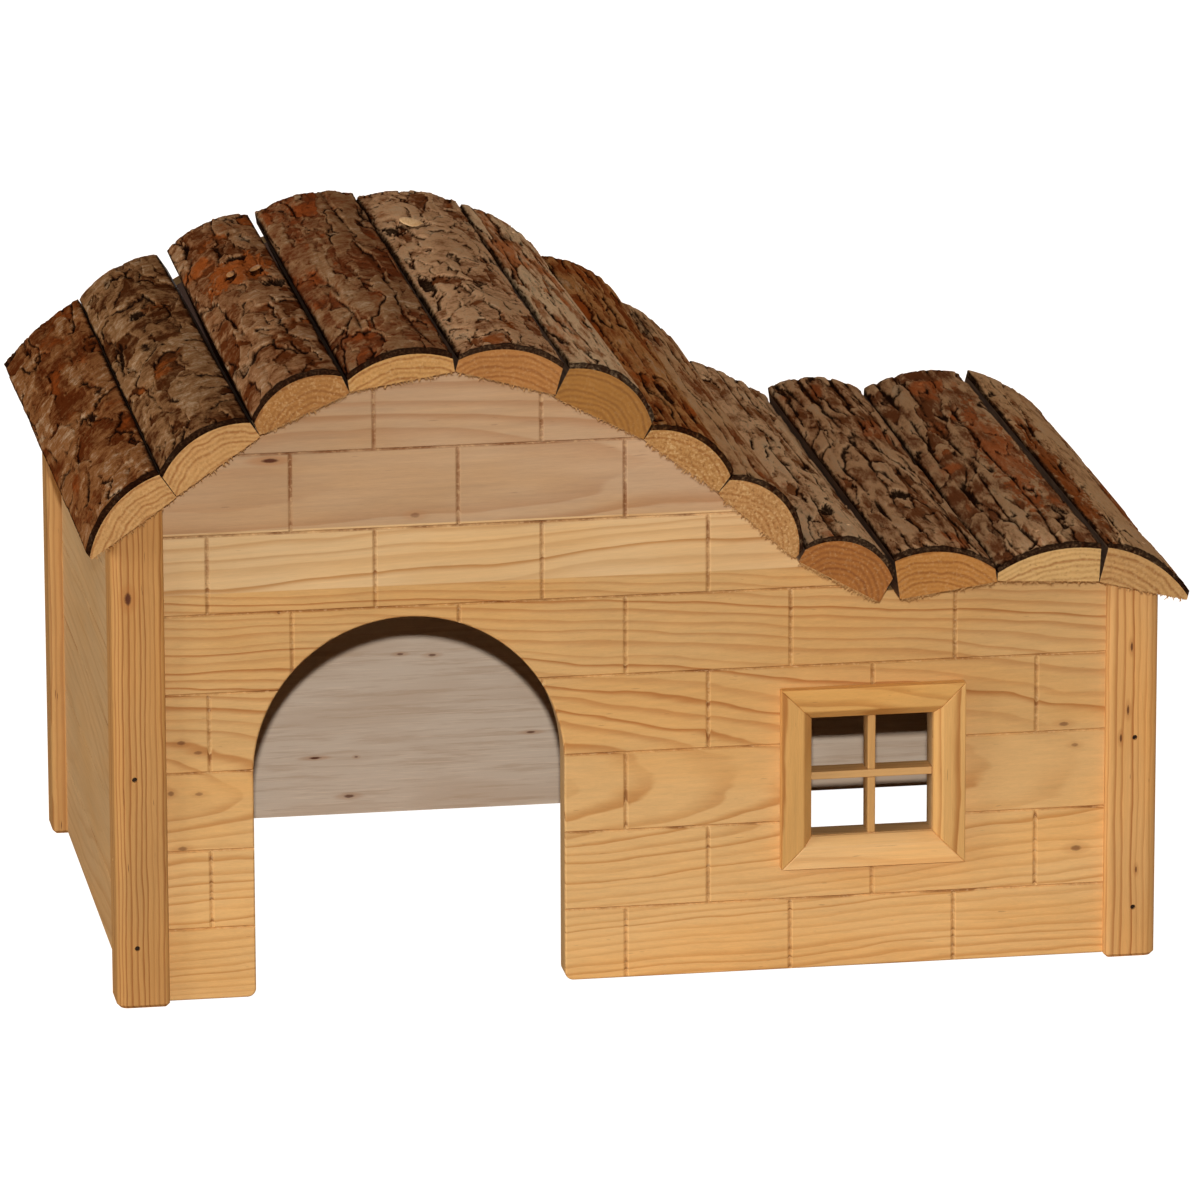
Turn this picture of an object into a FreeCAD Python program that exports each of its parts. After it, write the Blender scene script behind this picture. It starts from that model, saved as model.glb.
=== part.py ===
import FreeCAD, Part
import math
import os
from collections import namedtuple

# A pet house of scored pine boards between four corner posts, under a wavy roof of bark slabs.
# Millimetres. The front faces -Y, X runs to its right and Z up. The floor is Z = 0.

# Walls and corner posts
HOUSE_WIDTH = 240.0          # over the posts
HOUSE_DEPTH = 150.0          # over the posts
POST_SIZE = 12.0
POST_OUTER_ROUND = 2.6       # on the upright edge at the corner of the house
POST_FACE_ROUND = 1.3        # on the upright edges beside the boards
POST_FOOT_EASE = 0.8
BOARD = 6.5                  # thickness of every wall board
END_SET_BACK = 2.5           # face of the front and rear boards behind the posts
SIDE_SET_BACK = 3.5          # face of the side boards behind the posts
BOARD_LIFT = 0.6             # lower edge of the boards above the floor

# Roof line: the top edge of the front and rear boards, left to right.
# It rises straight, bends over a shoulder, a sharper ridge and a brow, falls straight,
# turns up in a valley and bends over the tail.
LEFT_PITCH = 34.9            # degrees, of the straight rise
SHOULDER_RADIUS = 93.7
RIDGE_X = -45.0
RIDGE_HEIGHT = 146.6
RIDGE_RADIUS = 39.2
RIDGE_LEFT_PITCH = 5.7       # degrees, where the shoulder ends and the ridge starts
RIDGE_RIGHT_PITCH = 17.6     # degrees, where the ridge ends and the brow starts
BROW_RADIUS = 138.7
RIGHT_PITCH = 42.2           # degrees, of the straight fall
FALL_RUN = 28.4              # length of the straight fall
VALLEY_RADIUS = 26.0
TAIL_PITCH = 12.5            # degrees, of the rise out of the valley
TAIL_RADIUS = 112.7
TAIL_BEND = 40.0             # degrees that the tail bends from its rise

# Roof slabs: offcuts of a log, flat below, crowned above, with the bark on
FRONT_EAVE = 7.0             # slab ends beyond the posts, front and rear
LEFT_EAVE = 5.0              # first slab's lower edge beyond the left posts
SLAB_GAP = 0.15
SEAT_GAP = 0.05              # under each slab, where it lies on the boards
BARK = 1.5

Slab = namedtuple("Slab", "width taper front rear furrows")
# width: of the sawn underside at the front. taper: how much narrower it is at the rear.
# front, rear: height of the wood at the left edge, the middle and the right edge.
# furrows: where each furrow of the bark starts at the front and ends at the rear, as shares from the left edge.
SLABS = (
    Slab(23.5, 0.0, (0.6, 7.0, 6.6), (4.0, 6.0, 6.0), ((0.24, 0.30), (0.78, 0.66))),
    Slab(22.9, 1.7, (5.4, 8.2, 4.0), (5.2, 6.6, 3.2), ((0.30, 0.20), (0.66, 0.60))),
    Slab(22.0, 0.9, (3.0, 7.8, 4.2), (2.2, 4.6, 2.0), ((0.34, 0.24), (0.80, 0.68))),
    Slab(24.0, 0.0, (2.6, 6.0, 3.0), (1.4, 3.8, 1.6), ((0.30, 0.34), (0.84, 0.70))),
    Slab(23.4, 0.0, (2.6, 7.8, 6.2), (0.8, 5.0, 5.2), ((0.32, 0.26), (0.88, 0.84))),
    Slab(22.7, 0.2, (7.2, 9.8, 4.0), (5.6, 6.2, 3.0), ((0.16, 0.12), (0.36, 0.30), (0.64, 0.62), (0.84, 0.82))),
    Slab(21.3, 0.0, (2.6, 7.0, 4.4), (2.8, 6.4, 5.0), ((0.18, 0.16), (0.38, 0.36), (0.62, 0.60), (0.82, 0.80))),
    Slab(23.8, 0.3, (4.0, 8.0, 1.2), (4.8, 6.6, 4.2), ((0.14, 0.18), (0.34, 0.38), (0.60, 0.60), (0.80, 0.78))),
    Slab(21.2, 0.0, (3.0, 9.6, 6.2), (5.2, 6.4, 5.8), ((0.30, 0.34), (0.60, 0.60), (0.82, 0.72))),
    Slab(22.5, 0.0, (9.0, 9.2, 3.0), (6.8, 7.4, 2.2), ((0.18, 0.16), (0.40, 0.34), (0.64, 0.62), (0.84, 0.86))),
    Slab(23.5, 0.2, (1.8, 7.0, 7.6), (2.2, 6.6, 6.2), ((0.22, 0.14), (0.42, 0.36), (0.66, 0.62))),
    Slab(21.0, 0.0, (8.2, 7.0, 0.9), (7.2, 5.6, 0.7), ((0.26, 0.22), (0.72, 0.80))),
)

# Furrows: V grooves in the outer face of the bark, which stray sideways as they run to the rear
FURROW_MOUTH = 1.9
FURROW_DEPTH = 0.8
FURROW_STRAY = 0.9
FURROW_SWING = 2.4           # radians from one bend of a furrow to the next
FURROW_RUNS = 4              # straight runs of a furrow

# Entrance
ARCH_X = -52.6
ARCH_WIDTH = 71.0
ARCH_SPRING = 53.0           # where the upright jambs end and the half circle starts
ARCH_FOOT_ROUND = 2.0
ARCH_EASE = 0.5              # worn rim of the arch on its outer face

# Scored V grooves that draw courses of blocks on the outer faces
COURSE_FIRST = 17.4
COURSE_PITCH = 18.4
COURSE_COUNT = 7
COURSE_LINE = 0.8
COURSE_DEPTH = 0.45
JOINT_FIRST = -98.0
JOINT_PITCH = 38.0
JOINT_COUNT = 6
JOINT_LINE = 1.3
JOINT_DEPTH = 0.4

# Window
WINDOW_X = 53.8
WINDOW_Z = 46.4
WINDOW_OPENING = 28.2        # square hole
RAIL_WIDTH = 7.2
RAIL_THICKNESS = 3.0
RAIL_CHAMFER = 2.0
BAR_WIDTH = 1.8
BAR_DEPTH = 5.5
BAR_LAP_GAP = 0.05

# Brads: small headed nails, all alike
BRAD_RADIUS = 0.4
BRAD_LENGTH = 18.0
BRAD_HEAD_RADIUS = 0.6
BRAD_HEAD = 0.5
BRAD_SINK = 0.8              # head below the wood's face
LEFT_BRAD_HEIGHTS = (14.3, 54.1)
LEFT_BRAD_OFFSET = 2.1       # outwards from the middle of the side board
RIGHT_BRAD_HEIGHTS = (12.0, 52.6)
RIGHT_BRAD_OFFSET = 1.3
END_BRAD_HEIGHTS = (34.0, 74.0)

SEAM_TURN = 45.0             # degrees; keeps the seam of a brad's round faces off a slab's crown line

PROUD = 1.0                  # how far a cutter stands out of the face it cuts
NEAR = 0.5                   # how close an edge's middle is to the place where it is looked for
CHORD_SAMPLES = 32
SEARCH_STEPS = 40

HALF_WIDTH = HOUSE_WIDTH / 2
HALF_DEPTH = HOUSE_DEPTH / 2
END_BOARD_WIDTH = HOUSE_WIDTH - 2 * POST_SIZE
SIDE_BOARD_WIDTH = HOUSE_DEPTH - 2 * POST_SIZE
BLANK_TOP = RIDGE_HEIGHT + POST_SIZE
HALF_ROOF_LENGTH = HALF_DEPTH + FRONT_EAVE
ROOF_ENDS = (-HALF_ROOF_LENGTH, HALF_ROOF_LENGTH)
END_BOARD_MIDDLE = HALF_DEPTH - END_SET_BACK - BOARD / 2
SIDE_BOARD_MIDDLE = HALF_WIDTH - SIDE_SET_BACK - BOARD / 2


def point(x, y, z):
    return FreeCAD.Vector(x, y, z)


UP = point(0, 0, 1)
BACKWARDS = point(0, 1, 0)


# ---- roof line ----

def shoulder_start():
    """Where the straight rise meets the shoulder, X and Z, worked back from the top of the ridge."""
    left, ridge = math.radians(LEFT_PITCH), math.radians(RIDGE_LEFT_PITCH)
    x = RIDGE_X - RIDGE_RADIUS * math.sin(ridge) - SHOULDER_RADIUS * (math.sin(left) - math.sin(ridge))
    drop = RIDGE_RADIUS * (1 - math.cos(ridge)) + SHOULDER_RADIUS * (math.cos(ridge) - math.cos(left))
    return x, RIDGE_HEIGHT - drop


def left_run():
    """Length of the straight rise, which starts under the first slab's lower edge."""
    return (shoulder_start()[0] + HALF_WIDTH + LEFT_EAVE) / math.cos(math.radians(LEFT_PITCH))


def roof_runs():
    """Length and bend of each stretch of the roof line, left to right. Bends over a crest are negative."""
    def arc(radius, turn, sense):
        return radius * math.radians(turn), sense / radius

    return (
        (left_run(), 0.0),
        arc(SHOULDER_RADIUS, LEFT_PITCH - RIDGE_LEFT_PITCH, -1),
        arc(RIDGE_RADIUS, RIDGE_LEFT_PITCH + RIDGE_RIGHT_PITCH, -1),
        arc(BROW_RADIUS, RIGHT_PITCH - RIDGE_RIGHT_PITCH, -1),
        (FALL_RUN, 0.0),
        arc(VALLEY_RADIUS, RIGHT_PITCH + TAIL_PITCH, 1),
        arc(TAIL_RADIUS, TAIL_BEND, -1),
    )


def roof_start():
    """The roof line's first point, X and Z, and its heading."""
    pitch = math.radians(LEFT_PITCH)
    x, z = shoulder_start()
    run = left_run()
    return x - run * math.cos(pitch), z - run * math.sin(pitch), pitch


def roof_at(distance):
    """Point of the roof line at a distance along it; past either end the end stretch goes on."""
    x, z, heading = roof_start()
    runs = roof_runs()
    for number, (length, bend) in enumerate(runs, start=1):
        step = distance if number == len(runs) else min(distance, length)
        if bend:
            x += (math.sin(heading + bend * step) - math.sin(heading)) / bend
            z += (math.cos(heading) - math.cos(heading + bend * step)) / bend
        else:
            x += step * math.cos(heading)
            z += step * math.sin(heading)
        heading += bend * step
        distance -= step
        if distance <= 0:
            break
    return point(x, 0, z)


def space_above_roof_line():
    """Everything above the roof line, as one block to cut the wall pieces with."""
    edges = []
    start = 0.0
    for length, bend in roof_runs():
        first, last = roof_at(start), roof_at(start + length)
        if bend:
            edges.append(Part.Arc(first, roof_at(start + length / 2), last).toShape())
        else:
            edges.append(Part.LineSegment(first, last).toShape())
        start += length
    right_end, left_end = roof_at(start), roof_at(0)
    top = BLANK_TOP + PROUD
    corners = (right_end, point(right_end.x, 0, top), point(left_end.x, 0, top), left_end)
    for low, high in zip(corners, corners[1:]):
        edges.append(Part.LineSegment(low, high).toShape())
    face = Part.Face(Part.Wire(edges))
    block = face.extrude(BACKWARDS * (HOUSE_DEPTH + 2 * PROUD))
    return moved(block, 0, -HALF_DEPTH - PROUD)


def moved(shape, x, y, turn=0.0):
    """A copy turned by degrees about the upright axis, then moved along X and Y."""
    copy = shape.copy()
    copy.rotate(point(0, 0, 0), UP, turn)
    copy.translate(point(x, y, 0))
    return copy


def prism(corners, sweep):
    return Part.Face(Part.makePolygon(corners + corners[:1])).extrude(sweep)


# ---- wall pieces, each with its outer face on Y = 0 and its thickness behind it ----

def blank_board(width):
    return Part.makeBox(width, BOARD, BLANK_TOP - BOARD_LIFT, point(-width / 2, 0, BOARD_LIFT))


def score(start, end, width, depth):
    """V-shaped cutter for a line in the outer face, with its width there and its depth below it."""
    side = (end - start).normalize().cross(BACKWARDS) * (width / 2 * (1 + PROUD / depth))
    apex, mouth = start + BACKWARDS * depth, start - BACKWARDS * PROUD
    return prism([apex, mouth + side, mouth - side], end - start)


def course_heights():
    return [COURSE_FIRST + COURSE_PITCH * row for row in range(COURSE_COUNT)]


def course_lines(width):
    """Level lines over a board's full width."""
    end = width / 2 + PROUD
    return [score(point(-end, 0, z), point(end, 0, z), COURSE_LINE, COURSE_DEPTH) for z in course_heights()]


def joint_lines():
    """Upright lines between the level ones, shifted by half a block in every other course."""
    lines = []
    for row in range(COURSE_COUNT + 1):
        top = COURSE_FIRST + COURSE_PITCH * row
        shift = JOINT_PITCH / 2 if row % 2 == 0 else 0.0
        for column in range(JOINT_COUNT):
            x = JOINT_FIRST + JOINT_PITCH * column + shift
            if x < END_BOARD_WIDTH / 2 - JOINT_LINE:
                lines.append(score(point(x, 0, top - COURSE_PITCH), point(x, 0, top), JOINT_LINE, JOINT_DEPTH))
    return lines


def arch_cutter():
    depth = BOARD + 2 * PROUD
    jambs = Part.makeBox(ARCH_WIDTH, depth, ARCH_SPRING, point(ARCH_X - ARCH_WIDTH / 2, -PROUD, 0))
    head = Part.makeCylinder(ARCH_WIDTH / 2, depth, point(ARCH_X, -PROUD, ARCH_SPRING), BACKWARDS)
    return jambs.fuse(head).removeSplitter()


def within_arch(edge):
    """True for an edge on the arch's rim or foot, and for no other edge of the board."""
    box = edge.BoundBox
    reach = ARCH_WIDTH / 2 + ARCH_FOOT_ROUND + PROUD
    crown = ARCH_SPRING + ARCH_WIDTH / 2 + PROUD
    return box.XMin > ARCH_X - reach and box.XMax < ARCH_X + reach and box.ZMax < crown


def arched_board():
    """Front board with the entrance cut, its two feet rounded and its outer rim eased."""
    board = blank_board(END_BOARD_WIDTH).cut(arch_cutter())
    feet = [e for e in board.Edges if within_arch(e) and e.BoundBox.ZMax < BOARD_LIFT + PROUD
            and e.BoundBox.YLength > BOARD / 2]
    board = board.makeFillet(ARCH_FOOT_ROUND, feet)
    rim = [e for e in board.Edges if within_arch(e) and e.BoundBox.YMax < ARCH_EASE]
    return board.makeFillet(ARCH_EASE, rim)


def window_hole():
    half = WINDOW_OPENING / 2
    corner = point(WINDOW_X - half, -PROUD, WINDOW_Z - half)
    return Part.makeBox(WINDOW_OPENING, BOARD + 2 * PROUD, WINDOW_OPENING, corner)


def front_board():
    return arched_board().cut([window_hole()] + course_lines(END_BOARD_WIDTH) + joint_lines())


def rear_board():
    return blank_board(END_BOARD_WIDTH).cut(course_lines(END_BOARD_WIDTH) + joint_lines())


def side_board():
    return blank_board(SIDE_BOARD_WIDTH).cut(course_lines(SIDE_BOARD_WIDTH))


def corner_post():
    """Post for the front left corner, with its outer edge at X = Y = 0 and the house at +X and +Y."""
    post = Part.makeBox(POST_SIZE, POST_SIZE, BLANK_TOP)
    post = rounded_upright(post, 0, 0, POST_OUTER_ROUND)
    post = rounded_upright(post, POST_SIZE, 0, POST_FACE_ROUND)
    post = rounded_upright(post, 0, POST_SIZE, POST_FACE_ROUND)
    foot = [e for e in post.Edges if e.BoundBox.ZMax < POST_FOOT_EASE]
    return post.makeChamfer(POST_FOOT_EASE, foot)


def rounded_upright(post, x, y, radius):
    """Rounds the post's upright edge at x, y."""
    edges = []
    for edge in post.Edges:
        box = edge.BoundBox
        off = abs(box.Center.x - x) + abs(box.Center.y - y)
        if box.ZLength > POST_SIZE and off < NEAR:
            edges.append(edge)
    return post.makeFillet(radius, edges)


def wall_pieces():
    """Boards and posts in their places, trimmed to the roof line."""
    end_y = HALF_DEPTH - END_SET_BACK
    side_x = HALF_WIDTH - SIDE_SET_BACK
    post = corner_post()
    mirrored_post = post.mirror(point(0, 0, 0), point(1, 0, 0))
    pieces = {
        "front_panel": moved(front_board(), 0, -end_y),
        "rear_panel": moved(rear_board(), 0, end_y, 180),
        "left_panel": moved(side_board(), -side_x, 0, -90),
        "right_panel": moved(side_board(), side_x, 0, 90),
        "post_front_left": moved(post, -HALF_WIDTH, -HALF_DEPTH),
        "post_front_right": moved(mirrored_post, HALF_WIDTH, -HALF_DEPTH),
        "post_rear_left": moved(mirrored_post, -HALF_WIDTH, HALF_DEPTH, 180),
        "post_rear_right": moved(post, HALF_WIDTH, HALF_DEPTH, 180),
    }
    above = space_above_roof_line()
    return {name: piece.cut(above) for name, piece in pieces.items()}


# ---- window ----

def window_rail(turn):
    """Mitred rail over the opening, turned about the window's middle to its own side."""
    inner = WINDOW_OPENING / 2
    outer = inner + RAIL_WIDTH
    face = -HALF_DEPTH + END_SET_BACK
    front = face - RAIL_THICKNESS
    section = [(face, outer), (front, outer), (front, inner + RAIL_CHAMFER), (front + RAIL_CHAMFER, inner),
               (face, inner)]
    bar = prism([point(-outer, y, z) for y, z in section], point(2 * outer, 0, 0))
    mitres = [(-outer, outer), (outer, outer), (inner, inner), (-inner, inner)]
    trapezium = prism([point(x, front, z) for x, z in mitres], BACKWARDS * RAIL_THICKNESS)
    rail = bar.common(trapezium)
    rail.rotate(point(0, 0, 0), BACKWARDS, turn)
    rail.translate(point(WINDOW_X, 0, WINDOW_Z))
    return rail


def window_bar(turn, notch_at_front):
    """Thin bar across the opening, half lapped with the other one at the middle."""
    half = WINDOW_OPENING / 2
    lap = BAR_WIDTH + 2 * BAR_LAP_GAP
    notch_depth = BAR_DEPTH / 2 + BAR_LAP_GAP
    bar = Part.makeBox(BAR_WIDTH, BAR_DEPTH, WINDOW_OPENING, point(-BAR_WIDTH / 2, 0, -half))
    notch_y = 0 if notch_at_front else BAR_DEPTH - notch_depth
    notch = Part.makeBox(BAR_WIDTH, notch_depth, lap, point(-BAR_WIDTH / 2, notch_y, -lap / 2))
    bar = bar.cut(notch)
    bar.rotate(point(0, 0, 0), BACKWARDS, turn)
    bar.translate(point(WINDOW_X, -HALF_DEPTH + END_SET_BACK, WINDOW_Z))
    return bar


def window_pieces():
    return {
        "window_rail_top": window_rail(0),
        "window_rail_right": window_rail(90),
        "window_rail_bottom": window_rail(180),
        "window_rail_left": window_rail(270),
        "window_bar_upright": window_bar(0, notch_at_front=True),
        "window_bar_level": window_bar(90, notch_at_front=False),
    }


# ---- roof slabs ----

Seat = namedtuple("Seat", "start corner along out slab")
# A slab's place: distance along the roof line, lower left corner, direction to the right, direction out.


def seat_slab(slab, start):
    """Lays a slab on the roof line, bridging the stretch that begins at the distance start."""
    first, last = roof_at(start), roof_at(start + slab.width)
    along = (last - first).normalize()
    out = point(-along.z, 0, along.x)
    samples = [roof_at(start + slab.width * i / CHORD_SAMPLES) for i in range(CHORD_SAMPLES + 1)]
    lift = max((sample - first).dot(out) for sample in samples) + SEAT_GAP
    return Seat(start, first + out * lift, along, out, slab)


def side_corners(seat, right):
    """Top and bottom corners of a seated slab's left or right side, front and rear."""
    slab = seat.slab
    index = 2 if right else 0
    widths = end_widths(slab) if right else (0, 0)
    corners = []
    for width, heights in zip(widths, (slab.front, slab.rear)):
        for height in (0, heights[index] + BARK):
            corners.append(seat.corner + seat.along * width + seat.out * height)
    return corners


def gap_between(left, right):
    """Clear distance between two seated neighbours, measured off the better of their facing sides."""
    past_left = min((corner - left.corner).dot(left.along) for corner in side_corners(right, False))
    past_right = max((corner - right.corner).dot(right.along) for corner in side_corners(left, True))
    return max(past_left - left.slab.width, -past_right)


def seat_beside(slab, neighbour):
    """Seats a slab as near to the right of its neighbour as their sides allow."""
    near = neighbour.start + neighbour.slab.width / 2
    far = neighbour.start + neighbour.slab.width * 2
    for _ in range(SEARCH_STEPS):
        middle = (near + far) / 2
        if gap_between(neighbour, seat_slab(slab, middle)) < SLAB_GAP:
            near = middle
        else:
            far = middle
    return seat_slab(slab, far)


def seated_slabs():
    seats = [seat_slab(SLABS[0], 0.0)]
    for slab in SLABS[1:]:
        seats.append(seat_beside(slab, seats[-1]))
    return seats


def across(seat, y, width, heights):
    """Three points over a slab at a given Y: its left edge, middle and right edge."""
    base = seat.corner + point(0, y, 0)
    shares = (0, 0.5, 1)
    return [base + seat.along * (width * share) + seat.out * high for share, high in zip(shares, heights)]


def end_section(seat, y, width, low, high):
    """Closed outline at one end of a slab, between its heights low and high. A flat side is a straight line."""
    low_left, low_middle, low_right = across(seat, y, width, low)
    high_left, high_middle, high_right = across(seat, y, width, high)
    if any(low):
        floor = Part.Arc(low_left, low_middle, low_right).toShape()
    else:
        floor = Part.LineSegment(low_left, low_right).toShape()
    right = Part.LineSegment(low_right, high_right).toShape()
    crown = Part.Arc(high_right, high_middle, high_left).toShape()
    left = Part.LineSegment(high_left, low_left).toShape()
    return Part.Wire([floor, right, crown, left])


def lengthwise(seat, lows, highs):
    """Solid from the front end section to the rear one."""
    sections = [end_section(seat, *values) for values in zip(ROOF_ENDS, end_widths(seat.slab), lows, highs)]
    return Part.makeLoft(sections, True, True)


def end_widths(slab):
    return slab.width, slab.width - slab.taper


def slab_wood(seat):
    flat = (0, 0, 0)
    return lengthwise(seat, (flat, flat), (seat.slab.front, seat.slab.rear))


def slab_bark(seat):
    wood = (seat.slab.front, seat.slab.rear)
    outer = bark_heights(seat.slab)
    furrows = [furrow(seat, number, *ends) for number, ends in enumerate(seat.slab.furrows)]
    return lengthwise(seat, wood, outer).cut(furrows)


def bark_heights(slab):
    """Heights of the bark's outer face at the front end and the rear end."""
    return [[height + BARK for height in heights] for heights in (slab.front, slab.rear)]


def bark_face(seat, share, reach):
    """Point of the bark's outer face at a share of the slab's width, and at a share of its length from the front."""
    ends = []
    for y, width, heights in zip(ROOF_ENDS, end_widths(seat.slab), bark_heights(seat.slab)):
        crown = Part.Arc(*across(seat, y, width, heights))
        ends.append(crown.value(crown.FirstParameter + (crown.LastParameter - crown.FirstParameter) * share))
    return ends[0] + (ends[1] - ends[0]) * reach


def furrow(seat, number, front_share, rear_share):
    """V-shaped cutter for one furrow, in straight runs between its bends."""
    side = seat.along * (FURROW_MOUTH / 2 * (1 + PROUD / FURROW_DEPTH))
    sections = []
    for bend in range(FURROW_RUNS + 1):
        reach = bend / FURROW_RUNS
        stray = FURROW_STRAY / seat.slab.width * math.sin(FURROW_SWING * (bend + number))
        place = bark_face(seat, front_share + (rear_share - front_share) * reach + stray, reach)
        past_end = {0: -PROUD, FURROW_RUNS: PROUD}.get(bend, 0)
        place += BACKWARDS * past_end
        mouth = place + seat.out * PROUD
        corners = [place - seat.out * FURROW_DEPTH, mouth + side, mouth - side]
        sections.append(Part.makePolygon(corners + corners[:1]))
    return Part.makeLoft(sections, True, True)


# ---- brads ----

Drive = namedtuple("Drive", "face direction")
# A brad's place: the point on the wood's face where it went in, and the way it went.


def brad(drive, head_up=0.0):
    """Head and shank about a brad's axis, with the head part carried on upwards by head_up."""
    head_start = drive.face + drive.direction * (BRAD_SINK - head_up)
    head_end = drive.face + drive.direction * (BRAD_SINK + BRAD_HEAD)
    head = Part.makeCylinder(BRAD_HEAD_RADIUS, BRAD_HEAD + head_up, head_start, drive.direction)
    shank = Part.makeCylinder(BRAD_RADIUS, BRAD_LENGTH - BRAD_HEAD, head_end, drive.direction)
    whole = head.fuse(shank)
    whole.rotate(drive.face, drive.direction, SEAM_TURN)
    return whole


def brad_bore(drive):
    """Space that a brad leaves, with the hole that its head was punched down through wood and bark."""
    return brad(drive, head_up=BRAD_SINK + BARK + PROUD)


def side_board_drives():
    """Through the post faces at the front and rear into the ends of the side boards."""
    left_x, right_x = -SIDE_BOARD_MIDDLE - LEFT_BRAD_OFFSET, SIDE_BOARD_MIDDLE + RIGHT_BRAD_OFFSET
    places = [(left_x, z) for z in LEFT_BRAD_HEIGHTS] + [(right_x, z) for z in RIGHT_BRAD_HEIGHTS]
    return [Drive(point(x, sy * HALF_DEPTH, z), point(0, -sy, 0)) for sy in (-1, 1) for x, z in places]


def end_board_drives(sy):
    """Through the outer sides of the posts into the ends of the front (sy -1) or rear (sy +1) board."""
    y = sy * END_BOARD_MIDDLE
    return [Drive(point(sx * HALF_WIDTH, y, z), point(-sx, 0, 0)) for sx in (-1, 1) for z in END_BRAD_HEIGHTS]


def roof_drives(seats, sy):
    """Down through the middle of each slab into the top of the front or rear board, or its post."""
    y = sy * END_BOARD_MIDDLE
    share = (y + HALF_ROOF_LENGTH) / (2 * HALF_ROOF_LENGTH)
    drives = []
    for seat in seats:
        front, rear = seat.slab.front[1], seat.slab.rear[1]
        height = front + (rear - front) * share
        middle = (seat.slab.width - seat.slab.taper * share) / 2
        face = seat.corner + seat.along * middle + seat.out * height + point(0, y, 0)
        drives.append(Drive(face, seat.out * -1))
    return drives


# ---- assembly ----

def house():
    seats = seated_slabs()
    brads = {
        "side_panel_brads": side_board_drives(),
        "front_panel_brads": end_board_drives(-1),
        "rear_panel_brads": end_board_drives(1),
        "roof_brads_front": roof_drives(seats, -1),
        "roof_brads_rear": roof_drives(seats, 1),
    }
    wooden = wall_pieces()
    for number, seat in enumerate(seats, start=1):
        wooden[f"roof_slab_{number:02d}"] = slab_wood(seat)
        wooden[f"bark_{number:02d}"] = slab_bark(seat)
    bores = [brad_bore(drive) for drives in brads.values() for drive in drives]
    pieces = {name: bored(shape, bores) for name, shape in wooden.items()}
    pieces.update(window_pieces())
    for name, drives in brads.items():
        pieces[name] = Part.makeCompound([brad(drive) for drive in drives])
    return pieces


def bored(shape, bores):
    """The piece with every bore that reaches it cut out."""
    near = [bore for bore in bores if bore.BoundBox.intersect(shape.BoundBox)]
    return shape.cut(near) if near else shape


def only_solids(shape):
    return shape.Solids[0] if len(shape.Solids) == 1 else Part.makeCompound(shape.Solids)


def centred(pieces):
    """Moves the house along X until its overall box is centred on the origin."""
    boxes = [shape.optimalBoundingBox(False) for shape in pieces.values()]
    middle = (min(box.XMin for box in boxes) + max(box.XMax for box in boxes)) / 2
    return {name: moved(shape, -middle, 0) for name, shape in pieces.items()}


def export(pieces):
    os.makedirs("parts", exist_ok=True)
    for name, shape in pieces.items():
        only_solids(shape).exportStep(f"parts/{name}.step")
        print(f"{name}: {len(shape.Solids)} solid, {shape.Volume / 1000:.2f} cm3, valid {shape.isValid()}")


export(centred(house()))
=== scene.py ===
"""Finishes of a pine pet house under a roof of bark slabs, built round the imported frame.

The frame gives every board, post and slab its place. This script dresses them in wood, and models
the bark, the sawn splinters, the loose chips and the bevelled window rails as pieces of their own.
Lengths in the size fields are millimetres, and the scene is in metres.
"""

import logging
import math
from dataclasses import dataclass, field
from enum import Enum
from typing import Iterable, Sequence

import bmesh
import bpy
from mathutils import Matrix, Vector, noise
from mathutils.bvhtree import BVHTree


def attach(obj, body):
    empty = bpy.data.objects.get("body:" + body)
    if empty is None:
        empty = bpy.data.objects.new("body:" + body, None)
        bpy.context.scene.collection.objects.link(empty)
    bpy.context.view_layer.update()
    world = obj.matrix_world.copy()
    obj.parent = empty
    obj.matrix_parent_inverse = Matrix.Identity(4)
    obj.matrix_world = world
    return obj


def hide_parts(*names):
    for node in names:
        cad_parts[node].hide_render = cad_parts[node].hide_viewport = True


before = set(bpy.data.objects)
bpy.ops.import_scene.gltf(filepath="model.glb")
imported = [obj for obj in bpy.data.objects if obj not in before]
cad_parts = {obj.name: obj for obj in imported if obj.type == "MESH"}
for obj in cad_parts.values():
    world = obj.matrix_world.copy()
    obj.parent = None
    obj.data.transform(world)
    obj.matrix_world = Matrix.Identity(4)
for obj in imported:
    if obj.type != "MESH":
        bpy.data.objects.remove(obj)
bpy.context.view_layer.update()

log = logging.getLogger("pet_house")

MM = 0.001
NOISE_SEED = 4          # fixes the offsets of noise_vector, which otherwise come from the clock
STRIP_SHIFT = 311.0     # mm along the grain between pieces of wood, so that no two look alike
PINE_ROUGHNESS = 0.6
PINE_BUMP = 0.0001      # metres
STICK_BUMP = 0.00012
Socket = bpy.types.NodeSocket
Colour = tuple[float, float, float, float]
Pair = tuple[float, float]
Triple = tuple[float, float, float]
Bytes = tuple[int, int, int]
FIRST_COLOUR = (0.5, 0.3, 0.1, 1.0)     # what a group's colour inputs hold until they are fed


def paint(red: int, green: int, blue: int) -> Colour:
    """Turns a colour given in screen bytes into linear light.

    Args:
        red, green, blue: Bytes from 0 to 255.

    Returns:
        The colour as linear red, green, blue and a full alpha.
    """
    def linear(byte: int) -> float:
        share = byte / 255
        return share / 12.92 if share <= 0.04045 else ((share + 0.055) / 1.055) ** 2.4

    return linear(red), linear(green), linear(blue), 1.0


def smooth(value: float, low: float, high: float) -> float:
    """Rises smoothly from 0 at low to 1 at high.

    Args:
        value: The number to place between the two limits.
        low, high: Where the rise starts and ends.

    Returns:
        A share from 0 to 1.
    """
    share = min(max((value - low) / (high - low), 0.0), 1.0)
    return share * share * (3 - 2 * share)


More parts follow.
